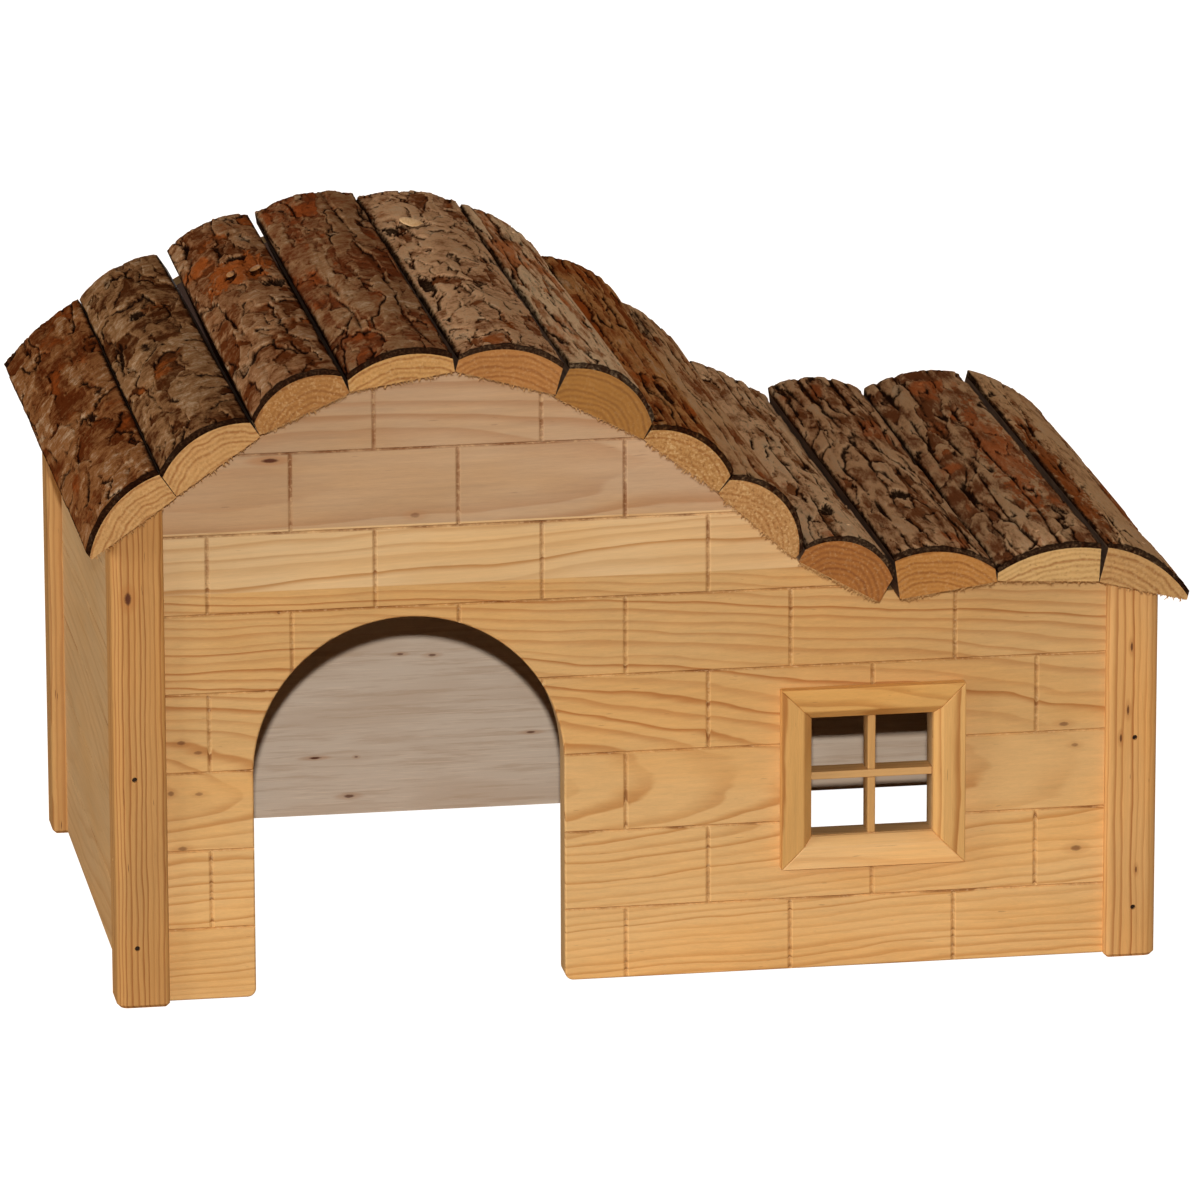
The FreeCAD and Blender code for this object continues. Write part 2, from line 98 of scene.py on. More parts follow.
def chance(spot: Vector) -> float:
    """A fixed random share from 0 to 1 for a place."""
    return 0.5 + 0.5 * noise.cell(spot)


def softened(rows: list[list[float]], reach: int) -> list[list[float]]:
    """Averages a field of numbers over a square round each place.

    Args:
        rows: The field.
        reach: How many places the square reaches to each side.

    Returns:
        The averaged field.
    """
    def run(line: Sequence[float]) -> list[float]:
        parts = (line[max(0, place - reach):place + reach + 1] for place in range(len(line)))
        return [sum(part) / len(part) for part in parts]

    columns = zip(*(run(row) for row in rows))
    return [list(row) for row in zip(*(run(column) for column in columns))]


# ---- shader graphs ----


class Graph:
    """Adds nodes to a tree and joins them up."""

    def __init__(self, tree: bpy.types.NodeTree) -> None:
        """Starts on a tree, which keeps the nodes it has."""
        self.tree = tree

    def add(self, kind: str, feeds: dict | None = None, **settings: object) -> bpy.types.Node:
        """Adds a node.

        Args:
            kind: Blender's name for the type of node.
            feeds: Sockets or plain values for its inputs, by name or number.
            **settings: The node's own properties.

        Returns:
            The new node.
        """
        node = self.tree.nodes.new(kind)
        node.location = (190 * (len(self.tree.nodes) % 12), -210 * (len(self.tree.nodes) // 12))
        for name, value in settings.items():
            setattr(node, name, value)
        for key, value in (feeds or {}).items():
            self.feed(node.inputs[key], value)
        return node

    def feed(self, socket: Socket, value: object) -> None:
        """Links a socket to an input, or sets the input to a plain value."""
        if isinstance(value, Socket):
            self.tree.links.new(value, socket)
        else:
            socket.default_value = value

    def math(self, operation: str, *values: object) -> Socket:
        """Adds a Math node and returns its result."""
        return self.add("ShaderNodeMath", dict(enumerate(values)), operation=operation).outputs[0]

    def plus(self, first: object, second: object) -> Socket:
        """The sum of two values."""
        return self.math("ADD", first, second)

    def minus(self, first: object, second: object) -> Socket:
        """The first value less the second."""
        return self.math("SUBTRACT", first, second)

    def times(self, first: object, second: object) -> Socket:
        """The product of two values."""
        return self.math("MULTIPLY", first, second)

    def over(self, first: object, second: object) -> Socket:
        """The first value divided by the second."""
        return self.math("DIVIDE", first, second)

    def swing(self, value: object, gain: object) -> Socket:
        """How far a value lies above a half, times a gain."""
        return self.times(self.minus(value, 0.5), gain)

    def mix(self, share: object, first: object, second: object) -> Socket:
        """Mixes two colours by a share."""
        feeds = {0: share, 6: first, 7: second}
        return self.add("ShaderNodeMix", feeds, data_type="RGBA", clamp_factor=True).outputs[2]

    def blend(self, share: object, first: object, second: object) -> Socket:
        """Mixes two numbers by a share."""
        return self.add("ShaderNodeMix", {0: share, 2: first, 3: second}, data_type="FLOAT").outputs[0]

    def between(self, value: object, low: float, high: float, start: float = 0.0, end: float = 1.0) -> Socket:
        """Maps a value smoothly from the range low to high onto the range start to end."""
        feeds = {"Value": value, "From Min": low, "From Max": high, "To Min": start, "To Max": end}
        return self.add("ShaderNodeMapRange", feeds, interpolation_type="SMOOTHSTEP").outputs[0]

    def noise(self, vector: Socket, scale: Triple, detail: float = 2.0, roughness: float = 0.5) -> Socket:
        """Fractal noise from 0 to 1, scaled along each axis."""
        feeds = {"Vector": self.scaled(vector, scale), "Scale": 1.0, "Detail": detail, "Roughness": roughness}
        return self.add("ShaderNodeTexNoise", feeds).outputs["Fac"]

    def scaled(self, vector: Socket, scale: object) -> Socket:
        """A vector or colour times a scale along each axis."""
        return self.add("ShaderNodeVectorMath", {0: vector, 1: scale}, operation="MULTIPLY").outputs[0]

    def lit(self, colour: Socket, light: Socket) -> Socket:
        """A colour made brighter or darker."""
        return self.add("ShaderNodeVectorMath", {0: colour, 3: light}, operation="SCALE").outputs[0]

    def dot(self, vector: Socket, way: Vector) -> Socket:
        """How far a vector reaches along a way."""
        feeds = {0: vector, 1: tuple(way)}
        return self.add("ShaderNodeVectorMath", feeds, operation="DOT_PRODUCT").outputs["Value"]

    def joined(self, feeds: dict[int, object]) -> Socket:
        """A vector made of its parts, by number."""
        return self.add("ShaderNodeCombineXYZ", feeds).outputs[0]

    def reach(self, feeds: dict[int, object]) -> Socket:
        """The length of a vector made of its parts, by number."""
        return self.add("ShaderNodeVectorMath", {0: self.joined(feeds)}, operation="LENGTH").outputs["Value"]

    def placed(self, vector: Socket, location: Triple, turn: Triple = (0, 0, 0), scale: float = 1.0
               ) -> Socket:
        """A vector scaled, then turned, then moved by a Mapping node."""
        feeds = {"Vector": vector, "Location": location, "Rotation": turn, "Scale": (scale,) * 3}
        return self.add("ShaderNodeMapping", feeds, vector_type="POINT").outputs[0]

    def in_mm(self, vector: Socket, location: Triple = (0, 0, 0)) -> Socket:
        """A place in metres as millimetres, moved."""
        return self.placed(vector, location, scale=1 / MM)

    def split(self, vector: Socket) -> tuple[Socket, Socket, Socket]:
        """The three parts of a vector."""
        node = self.add("ShaderNodeSeparateXYZ", {0: vector})
        return node.outputs[0], node.outputs[1], node.outputs[2]


class Group(Graph):
    """A shared effect: a node group that puts out colours, masks and heights."""

    KINDS = {float: "NodeSocketFloat", tuple: "NodeSocketColor", Vector: "NodeSocketVector"}

    def __init__(self, name: str, takes: dict[str, object], gives: dict[str, type]) -> None:
        """Makes the group's tree and its sockets.

        Args:
            name: The group's name.
            takes: Its inputs with their first values. A colour is a tuple.
            gives: Its outputs with their types.
        """
        tree = bpy.data.node_groups.new(name, "ShaderNodeTree")
        for key, value in takes.items():
            socket = tree.interface.new_socket(name=key, in_out="INPUT", socket_type=self.KINDS[type(value)])
            if not isinstance(value, Vector):
                socket.default_value = value
        for key, kind in gives.items():
            tree.interface.new_socket(name=key, in_out="OUTPUT", socket_type=self.KINDS[kind])
        super().__init__(tree)
        self.takes = self.add("NodeGroupInput").outputs
        self.gives = self.add("NodeGroupOutput").inputs

    def inputs(self) -> list[Socket]:
        """The group's inputs, in the order in which it takes them."""
        return list(self.takes)[:-1]        # the last is the blank one for a new input

    def give(self, values: dict[str, Socket]) -> "Group":
        """Feeds the group's outputs by name, and returns the group."""
        for key, value in values.items():
            self.feed(self.gives[key], value)
        return self

    def rings(self, phase: Socket, rise: Pair, fall: Pair, strength: Pair) -> Socket:
        """The late wood of growth rings.

        Args:
            phase: Grows by one from ring to ring.
            rise, fall: Between which shares of a ring its late wood sets in and ends.
            strength: The weakest and the strongest ring.

        Returns:
            How much late wood there is, from 0 to 1.
        """
        share = self.math("FRACT", phase)
        luck = self.add("ShaderNodeTexWhiteNoise", {"W": self.math("FLOOR", phase)}, noise_dimensions="1D")
        late = self.times(self.between(share, *rise), self.between(share, *fall, 1.0, 0.0))
        return self.times(late, self.between(luck.outputs["Value"], 0.0, 1.0, *strength))

    def place(self, graph: Graph, feeds: dict[str, object]) -> bpy.types.NodeOutputs:
        """Places the group in a material.

        Args:
            graph: The material's graph.
            feeds: Its inputs by name.

        Returns:
            The placed group's outputs.
        """
        return graph.add("ShaderNodeGroup", feeds, node_tree=self.tree).outputs


def grain_group() -> Group:
    """Solid softwood: growth rings round the X axis, with fibres along it. Works in millimetres."""
    group = Group("softwood_grain", {
        "Vector": Vector(), "Ring": 2.2, "Wander": 3.0, "Contrast": 0.7, "Resin": 0.3, "Calm": 0.0,
        "Early": FIRST_COLOUR, "Late": FIRST_COLOUR,
    }, {"Color": tuple, "Height": float, "Late wood": float})
    vector, ring, wander, contrast, resin, calm, early, deep = group.inputs()
    swell = group.swing(group.noise(vector, (0.011, 0.03, 0.03), 2), group.times(wander, 4.0))
    ripple = group.swing(group.noise(vector, (0.05, 0.22, 0.22), 2), 1.3)
    _, side, depth = group.split(vector)
    radius = group.plus(group.plus(group.reach({1: side, 2: depth}), swell), ripple)
    uneven = group.add("ShaderNodeTexNoise", {"W": group.times(radius, 0.21), "Scale": 1.0, "Detail": 1.0},
                       noise_dimensions="1D").outputs["Fac"]
    phase = group.plus(group.over(radius, ring), group.times(uneven, 1.1))
    late = group.rings(phase, (0.45, 0.90), (0.90, 1.0), (0.35, 1.0))
    level = group.over(group.math("ABSOLUTE", depth), group.math("MAXIMUM", radius, 1.0))
    late = group.times(late, group.blend(calm, 1.0, group.between(level, 0.02, 0.32, 0.3, 1.0)))
    streak = group.noise(vector, (0.03, 1.1, 1.1), 4, 0.6)
    hair = group.noise(vector, (0.30, 7.0, 7.0), 3, 0.6)
    blotch = group.noise(vector, (0.02, 0.06, 0.06), 3)
    warmth = group.noise(vector, (0.012, 0.05, 0.05), 3, 0.6)
    dash = group.noise(vector, (0.16, 1.9, 1.9), 1)
    spread = group.plus(group.swing(streak, 0.30), group.swing(hair, 0.22))
    light = group.plus(group.plus(spread, group.swing(blotch, 0.30)), 1.0)
    colour = group.lit(group.mix(group.times(late, contrast), early, deep), light)
    colour = group.mix(group.between(warmth, 0.38, 0.66), colour, group.scaled(colour, (1.02, 0.95, 0.83)))
    colour = group.mix(group.times(group.between(dash, 0.75, 0.82), resin), colour, paint(96, 52, 24))
    height = group.minus(group.times(hair, 0.5), group.times(late, 0.25))
    return group.give({"Color": colour, "Height": height, "Late wood": late})


def knot_group() -> Group:
    """A small knot: a dark lens with a ring of stained wood round it."""
    takes = {"Vector": Vector(), "Across": 1.6, "Up": 0.5, "Depth": 1.0, "Color": FIRST_COLOUR}
    group = Group("small_knot", takes, {"Color": tuple})
    vector, across, up, depth, colour = group.inputs()
    x, _, z = group.split(vector)
    wide = group.math("POWER", group.math("ABSOLUTE", group.over(x, across)), 1.6)
    high = group.math("POWER", group.math("ABSOLUTE", group.over(z, up)), 2.0)
    away = group.plus(group.plus(wide, high), group.times(group.noise(vector, (1.8, 3, 3), 2), 0.5))
    core = group.times(group.between(away, 0.5, 1.3, 1.0, 0.0), depth)
    stain = group.times(group.between(away, 0.8, 6.0, 0.45, 0.0), depth)
    stained = group.mix(stain, colour, paint(176, 108, 48))
    return group.give({"Color": group.mix(core, stained, paint(92, 44, 14))})


def groove_group() -> Group:
    """Dust in a scored line, and burnt spots where the line crosses hard late wood."""
    takes = {"Depth": 0.0, "Vector": Vector(), "Late wood": 0.0, "Color": FIRST_COLOUR}
    group = Group("scored_line", takes, {"Color": tuple})
    depth, vector, late, colour = group.inputs()
    within = group.times(group.between(depth, 0.01, 0.25), group.between(depth, 0.55, 0.7, 1.0, 0.0))
    patchy = group.between(group.noise(vector, (0.12, 0.12, 0.12), 3), 0.35, 0.65, 0.08, 0.60)
    patchy = group.times(patchy, group.between(group.split(vector)[2], 80.0, 116.0, 0.5, 1.2))
    burnt = group.times(group.between(late, 0.15, 0.8), 0.6)
    stipple = group.noise(vector, (1.1, 1.0, 1.5), 2)
    torn = group.between(stipple, 0.44, 0.32, 0.0, 0.18)
    share = group.times(within, group.math("MAXIMUM", group.plus(patchy, torn), burnt))
    fuzz = group.times(within, group.between(stipple, 0.54, 0.66, 0.0, 0.35))
    burnt_line = group.mix(share, colour, paint(132, 76, 34))
    return group.give({"Color": group.mix(fuzz, burnt_line, paint(236, 200, 146))})


def end_grain_group() -> Group:
    """Sawn end grain: rings round the Y axis, torn specks and saw marks. Works in millimetres."""
    takes = {"Vector": Vector(), "Ring": 1.2, "Specks": 0.5, "Pale": FIRST_COLOUR, "Deep": FIRST_COLOUR}
    group = Group("sawn_end_grain", takes, {"Color": tuple, "Height": float})
    vector, ring, specks, pale, deep = group.inputs()
    x, _, z = group.split(vector)
    bend = group.swing(group.noise(vector, (0.16, 0.03, 0.16), 2), 2.4)
    phase = group.over(group.plus(group.reach({0: x, 2: z}), bend), ring)
    late = group.rings(phase, (0.10, 0.55), (0.60, 0.95), (0.2, 0.75))
    speck = group.noise(vector, (1.9, 0.25, 1.9), 4, 0.7)
    grit = group.noise(vector, (1.1, 0.12, 1.1), 2, 0.5)
    blotch = group.noise(vector, (0.12, 0.03, 0.12), 2)
    torn = group.times(group.between(speck, 0.50, 0.66), specks)
    pits = group.times(group.between(speck, 0.46, 0.32), specks)
    colour = group.mix(torn, group.mix(late, pale, deep), paint(212, 172, 116))
    colour = group.mix(group.times(pits, 0.8), colour, paint(122, 74, 34))
    light = group.plus(0.83, group.plus(group.times(grit, 0.14), group.times(blotch, 0.22)))
    height = group.plus(speck, group.times(late, -0.3))
    return group.give({"Color": group.lit(colour, light), "Height": height})


def bark_group() -> Group:
    """Weathered bark over its mesh's relief: grey plates, brown flanks, bare red, dark pits and painted
    shade.
    """
    group = Group("weathered_bark", {
        "Vector": Vector(), "Pit and shade": 0.0, "Tone and highlight": 0.5, "Bare": 0.0, "Drawn": 1.0,
        "Plate": FIRST_COLOUR, "Body": FIRST_COLOUR, "Fresh": FIRST_COLOUR,
    }, {"Color": tuple, "Height": float, "Roughness": float})
    vector, pit_and_shade, tone, bare, draw, plate, body, fresh = group.inputs()
    drawn = group.scaled(vector, group.joined({0: 1.0, 1: draw, 2: 1.0}))
    mottle = group.noise(drawn, (0.30, 0.30, 0.30), 6, 0.68)
    grit = group.noise(drawn, (1.5, 1.5, 1.5), 5, 0.72)
    dust = group.noise(vector, (4.5, 4.5, 4.5), 3, 0.7)
    rust = group.noise(drawn, (0.45, 0.45, 0.75), 5, 0.66)
    weather = group.plus(group.plus(tone, group.swing(mottle, 2.6)), group.swing(grit, 1.2))
    colour = group.mix(group.between(weather, 0.0, 1.0), body, plate)
    # Pale tan where the tone runs high: partly the bark's own pale plates, partly the painted highlight that
    # the tone carries on raised places.
    colour = group.mix(group.between(weather, 0.85, 1.60, 0.0, 0.8), colour, paint(206, 174, 136))
    bare = group.plus(bare, group.swing(rust, 2.4))
    colour = group.mix(group.between(bare, 0.20, 1.05, 0.0, 0.85), colour, fresh)
    # Near-black where the pits, cracks and painted shade run deep.
    dark = group.plus(pit_and_shade, group.times(group.minus(0.47, grit), 1.3))
    colour = group.mix(group.between(dark, 0.06, 1.0, 0.0, 0.97), colour, paint(28, 13, 7))
    return group.give({
        "Color": group.lit(colour, group.plus(0.55, dust)),
        "Height": group.plus(grit, group.times(dust, 0.35)),
        "Roughness": group.between(grit, 0.3, 0.7, 0.95, 0.78),
    })


class Effects:
    """The node groups that several finishes share, each built once."""

    def __init__(self) -> None:
        """Builds every group."""
        self.grain = grain_group()
        self.knot = knot_group()
        self.groove = groove_group()
        self.end_grain = end_grain_group()
        self.bark = bark_group()


# ---- finishes ----


class Axis(Enum):
    """The way a piece's grain runs, as the turn that lays that way along X."""

    ACROSS = (0.0, 0.0, 0.0)
    UPRIGHT = (0.0, math.pi / 2, 0.0)


def surface(graph: Graph, colour: Socket, height: Socket, bump: float, roughness: object,
            specular: float = 0.3) -> None:
    """Ends a material's graph in a Principled BSDF.

    Args:
        graph: The material's graph.
        colour: Base colour.
        height: Height for the bump.
        bump: Height of the bump in metres.
        roughness: Roughness, as a socket or a number.
        specular: Specular level.
    """
    relief = graph.add("ShaderNodeBump", {"Height": height, "Distance": bump, "Strength": 1.0})
    shader = graph.add("ShaderNodeBsdfPrincipled", {
        "Base Color": colour, "Roughness": roughness, "Specular IOR Level": specular,
        "Normal": relief.outputs["Normal"],
    })
    graph.add("ShaderNodeOutputMaterial", {"Surface": shader.outputs[0]})


def new_material(name: str) -> tuple[bpy.types.Material, Graph, Socket]:
    """An empty material.

    Args:
        name: The material's name.

    Returns:
        The material, its graph and its object coordinates in metres.
    """
    material = bpy.data.materials.new(name)
    material.use_nodes = True
    material.node_tree.nodes.clear()
    graph = Graph(material.node_tree)
    return material, graph, graph.add("ShaderNodeTexCoord").outputs["Object"]


@dataclass(frozen=True)
class Strip:
    """One strip of a glued board: where its heart lay, and how its rings look."""

    top: float                      # upper edge, mm above the floor
    heart: Pair                     # mm: behind the outer face, above the floor
    tilt: Pair = (0.0, 0.0)         # degrees off the board's length: in its plane, into it
    ring: float = 2.2
    wander: float = 2.5
    contrast: float = 0.75
    early: Bytes = (212, 168, 108)
    late: Bytes = (178, 116, 54)
    resin: float = 0.3
    blend: float = 0.1                      # mm over which it goes over into the next strip
    piece: int = 0                          # strips with the same number are one piece of wood


@dataclass(frozen=True)
class Knot:
    """A small knot on a board's face."""

    along: float                    # mm along the board
    above: float                    # mm above the floor
    half_width: float
    half_height: float
    depth: float = 1.0


def with_knots(graph: Graph, effects: Effects, place: Socket, colour: Socket, knots: Iterable[Knot]
               ) -> Socket:
    """Paints small knots over a colour.

    Args:
        graph: The material's graph.
        effects: The shared node groups.
        place: Place in mm: along, in and up.
        colour: The colour under the knots.
        knots: The knots.

    Returns:
        The colour with the knots.
    """
    for knot in knots:
        colour = effects.knot.place(graph, {
            "Vector": graph.placed(place, (-knot.along, 0, -knot.above)), "Across": knot.half_width,
            "Up": knot.half_height, "Depth": knot.depth, "Color": colour,
        })["Color"]
    return colour


def placed_grain(graph: Graph, effects: Effects, vector: Socket, wood: "Strip | StickFinish",
                 calm: float) -> bpy.types.NodeOutputs:
    """Places the grain of a piece of wood.

    Args:
        graph: The material's graph.
        effects: The shared node groups.
        vector: Place in mm from the wood's heart, with the heart along X.
        wood: The piece of wood.
        calm: How far the late wood fades where the rings lie flat to the heart's level.

    Returns:
        The grain group's outputs.
    """
    return effects.grain.place(graph, {
        "Vector": vector, "Ring": wood.ring, "Wander": wood.wander, "Contrast": wood.contrast, "Calm": calm,
        "Early": paint(*wood.early), "Late": paint(*wood.late), "Resin": wood.resin,
    })


@dataclass(frozen=True)
class BoardFinish:
    """Glued strips of pine, their scored lines and knots, and a plain inner face with painted shade toward
    the roof.
    """

    name: str
    strips: tuple[Strip, ...]
    outward: Triple     # unit normal of the outer face
    face: float                             # mm from the origin to the outer face
    knots: tuple[Knot, ...] = ()
    inner: Bytes = (190, 160, 128)
    inner_knots: tuple[Knot, ...] = ()
    inner_shade_from: float = 94.0           # mm above the floor, from where painted shade darkens the inner face toward the roof
    thickness: float = 6.5

    def material(self, effects: Effects) -> bpy.types.Material:
        """Builds the finish.

        Args:
            effects: The shared node groups.

        Returns:
            The board's material.
        """
        material, graph, place = new_material(self.name)
        normal = Vector(self.outward)
        along = (-normal).cross(Vector((0, 0, 1)))
        depth = graph.minus(self.face, graph.dot(place, normal / MM))
        up = graph.over(graph.split(place)[2], MM)
        board = graph.joined({0: graph.dot(place, along / MM), 1: depth, 2: up})
        grains = [self.grain(graph, effects, board, strip) for strip in self.strips]
        colour, height, late = (grains[0][key] for key in ("Color", "Height", "Late wood"))
        for below, grain in zip(self.strips, grains[1:]):
            above = graph.between(up, below.top - below.blend, below.top + below.blend)
            colour = graph.mix(above, colour, grain["Color"])
            height = graph.blend(above, height, grain["Height"])
            late = graph.blend(above, late, grain["Late wood"])
        colour = with_knots(graph, effects, board, colour, self.knots)
        feeds = {"Depth": depth, "Vector": board, "Late wood": late, "Color": colour}
        colour = effects.groove.place(graph, feeds)["Color"]
        colour = graph.mix(graph.between(depth, 0.6, 1.4, 0.0, 0.45), colour, paint(150, 118, 84))
        behind = graph.between(depth, self.thickness - 0.3, self.thickness - 0.05)
        colour = graph.mix(behind, colour, self.inner_face(graph, effects, board))
        surface(graph, colour, height, PINE_BUMP, PINE_ROUGHNESS)
        return material

    def inner_face(self, graph: Graph, effects: Effects, board: Socket) -> Socket:
        """The inner face: pale, greyer wood with fine level streaks, and painted shade toward the roof."""
        streak = graph.noise(board, (0.045, 1.0, 0.9), 5, 0.66)
        hair = graph.noise(board, (0.10, 1.0, 4.0), 3, 0.6)
        cloud = graph.noise(board, (0.02, 0.1, 0.12), 3, 0.5)
        pale = paint(*self.inner)
        deep = tuple(part * share for part, share in zip(pale, (0.72, 0.60, 0.50))) + (1.0,)
        light = tuple(min(part * 1.22, 0.9) for part in pale[:3]) + (1.0,)
        face = graph.mix(graph.between(streak, 0.36, 0.54, 0.45, 0.0), pale, deep)
        face = graph.mix(graph.between(hair, 0.54, 0.70, 0.0, 0.5), face, light)
        face = graph.mix(graph.between(cloud, 0.44, 0.66, 0.0, 0.35), face, deep)
        # Painted shade: the inner face turns dark brown from this height up toward the roof.
        dark = graph.between(graph.split(board)[2], self.inner_shade_from, self.inner_shade_from + 2.0)
        face = graph.mix(dark, face, paint(66, 40, 24))
        return with_knots(graph, effects, board, face, self.inner_knots)

    def grain(self, graph: Graph, effects: Effects, board: Socket, strip: Strip) -> bpy.types.NodeOutputs:
        """Places one strip's grain.

        Args:
            graph: The material's graph.
            effects: The shared node groups.
            board: Place on the board in mm: along, in and up.
            strip: The strip's values.

        Returns:
            The grain group's outputs.
        """
        centred = graph.placed(board, (0, -strip.heart[0], -strip.heart[1]))
        turn = (0, math.radians(strip.tilt[0]), math.radians(strip.tilt[1]))
        turned = graph.placed(centred, (STRIP_SHIFT * strip.piece, 0, 0), turn)
        return placed_grain(graph, effects, turned, strip, 1.0)


@dataclass(frozen=True)
class StickFinish:
    """Pine sawn into a post, rail or bar, with straight grain along it."""

    name: str
    way: Axis
    heart: Triple       # mm: a point on the heart's line
    ring: float = 1.3
    wander: float = 1.0
    contrast: float = 0.6
    early: Bytes = (214, 164, 104)
    late: Bytes = (172, 108, 50)
    resin: float = 0.4
    tilt: Pair = (0.0, 0.0)
    slits: tuple[Knot, ...] = ()            # on the front, at X and Z

    def material(self, effects: Effects) -> bpy.types.Material:
        """Builds the finish from the shared node groups."""
        material, graph, place = new_material(self.name)
        centred = graph.in_mm(place, tuple(-part for part in self.heart))
        turned = graph.placed(centred, (0, 0, 0), self.way.value)
        tilted = graph.placed(turned, (0, 0, 0), (0, math.radians(self.tilt[0]), math.radians(self.tilt[1])))
        grain = placed_grain(graph, effects, tilted, self, 0.0)
        colour = with_knots(graph, effects, graph.in_mm(place), grain["Color"], self.slits)
        surface(graph, colour, grain["Height"], STICK_BUMP, PINE_ROUGHNESS)
        return material


@dataclass(frozen=True)
class SawnFinish:
    """Slab wood: end grain about the log's own heart."""

    name: str
    heart: Pair = (0.0, 0.0)                # mm, X and Z
    foot: Vector = Vector((0.0, 0.0, -1.0))     # a point of the sawn underside
    out: Vector = Vector((0.0, 0.0, 1.0))       # unit normal away from the underside
    ring: float = 1.2
    specks: float = 0.4
    pale: Bytes = (200, 150, 90)
    deep: Bytes = (154, 94, 40)
    side: Bytes = (78, 54, 38)
    side_streaks: Bytes = (118, 88, 62)
    end: float = 82.0                       # mm from the middle to a sawn end

    def material(self, effects: Effects) -> bpy.types.Material:
        """Builds the finish from the shared node groups."""
        material, graph, place = new_material(self.name)
        vector = graph.in_mm(place, (-self.heart[0], 0, -self.heart[1]))
        grain = effects.end_grain.place(graph, {
            "Vector": vector, "Ring": self.ring, "Specks": self.specks,
            "Pale": paint(*self.pale), "Deep": paint(*self.deep),
        })
        streak = graph.noise(vector, (1.4, 0.07, 1.4), 4, 0.6)
        side = graph.mix(graph.between(streak, 0.3, 0.7), paint(*self.side), paint(*self.side_streaks))
        under = graph.mix(graph.between(streak, 0.3, 0.7), paint(150, 106, 62), paint(196, 150, 96))
        rise = graph.minus(graph.dot(place, self.out / MM), self.foot.dot(self.out) / MM)
        sawn = graph.mix(graph.between(rise, 0.02, 0.08), under, side)
        near_end = graph.math("ABSOLUTE", graph.split(vector)[1])
        colour = graph.mix(graph.between(near_end, self.end - 0.12, self.end - 0.04), sawn, grain["Color"])
        surface(graph, colour, grain["Height"], 0.00015, 0.75)
        return material


@dataclass(frozen=True)
class BarkFinish:
    """Colours of one slab's bark. The relief's own values come from the mesh."""

    name: str
    plate: Bytes = (178, 132, 90)
    body: Bytes = (116, 66, 32)
    fresh: Bytes = (158, 82, 34)
    drawn: float = 1.0                      # under 1 draws the mottling out along the slab

    def material(self, effects: Effects) -> bpy.types.Material:
        """Builds the finish from the shared node groups."""
        material, graph, place = new_material(self.name)
        relief = graph.add("ShaderNodeAttribute", attribute_name=RELIEF, attribute_type="GEOMETRY")
        red, green, blue = graph.add("ShaderNodeSeparateColor", {0: relief.outputs["Color"]}).outputs
        bark = effects.bark.place(graph, {
            "Vector": graph.in_mm(place), "Pit and shade": red, "Tone and highlight": green, "Bare": blue,
            "Drawn": self.drawn, "Plate": paint(*self.plate), "Body": paint(*self.body),
            "Fresh": paint(*self.fresh),
        })
        surface(graph, bark["Color"], bark["Height"], 0.0003, bark["Roughness"], 0.0)
        return material


@dataclass(frozen=True)
class SteelFinish:
    """Dull steel of the brads."""

    name: str = "dull_steel"
    metal: Bytes = (64, 50, 38)

    def material(self) -> bpy.types.Material:
        """Builds the finish."""
        material, graph, place = new_material(self.name)
        spots = graph.noise(graph.in_mm(place), (1.5, 1.5, 1.5), 3)
        colour = graph.mix(graph.between(spots, 0.4, 0.7), paint(*self.metal), paint(58, 42, 32))
        roughness = graph.between(spots, 0.3, 0.7, 0.4, 0.75)
        feeds = {"Base Color": colour, "Roughness": roughness, "Metallic": 0.9}
        shader = graph.add("ShaderNodeBsdfPrincipled", feeds)
        graph.add("ShaderNodeOutputMaterial", {"Surface": shader.outputs[0]})
        return material


# ---- pieces ----


def dress(node: str, material: bpy.types.Material) -> None:
    """Gives a node of the frame its material."""
    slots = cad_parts[node].data.materials
    slots.clear()
    slots.append(material)


def merged(node: str) -> bmesh.types.BMesh:
    """A copy of a frame node's mesh with its loose triangles joined up."""
    mesh = bmesh.new()
    mesh.from_mesh(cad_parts[node].data)
    bmesh.ops.remove_doubles(mesh, verts=mesh.verts, dist=1e-6)
    return mesh


def finished(mesh: bmesh.types.BMesh, name: str, material: bpy.types.Material,
             nodes: Iterable[str] = ()) -> None:
    """Turns a mesh into a piece that rides on the house.

    Args:
        mesh: The piece's mesh, in place, which is freed.
        name: The piece's name.
        material: Its material.
        nodes: The frame nodes that it stands for.
    """
    data = bpy.data.meshes.new(name)
    mesh.to_mesh(data)
    mesh.free()
    data.materials.append(material)
    piece = bpy.data.objects.new(name, data)
    bpy.context.scene.collection.objects.link(piece)
    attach(piece, "root")
    if nodes:
        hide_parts(*nodes)
    log.info("%s: %d faces", name, len(data.polygons))


@dataclass(frozen=True)
class CrownArc:
    """The arc of a slab's crown at one end, from its left edge to its right."""

    centre: Vector
    first: float
    sweep: float
    radius: float

    @classmethod
    def through(cls, left: Vector, middle: Vector, right: Vector) -> "CrownArc":
        """Finds the arc through three points that share their Y.

        Args:
            left, middle, right: The points.

        Returns:
            The arc.
        """
        ax, az, bx, bz = middle.x - left.x, middle.z - left.z, right.x - left.x, right.z - left.z
        scale = 2 * (ax * bz - az * bx)
        along, far = ax * ax + az * az, bx * bx + bz * bz
        x, z = (bz * along - az * far) / scale, (ax * far - bx * along) / scale
        centre = Vector((left.x + x, left.y, left.z + z))
        first, last = (math.atan2(end.z - centre.z, end.x - centre.x) for end in (left, right))
        return cls(centre, first, last - first, (left - centre).length)

    def at(self, share: float) -> Vector:
        """The point at a share of the arc."""
        angle = self.first + self.sweep * share
        return self.centre + Vector((math.cos(angle), 0, math.sin(angle))) * self.radius


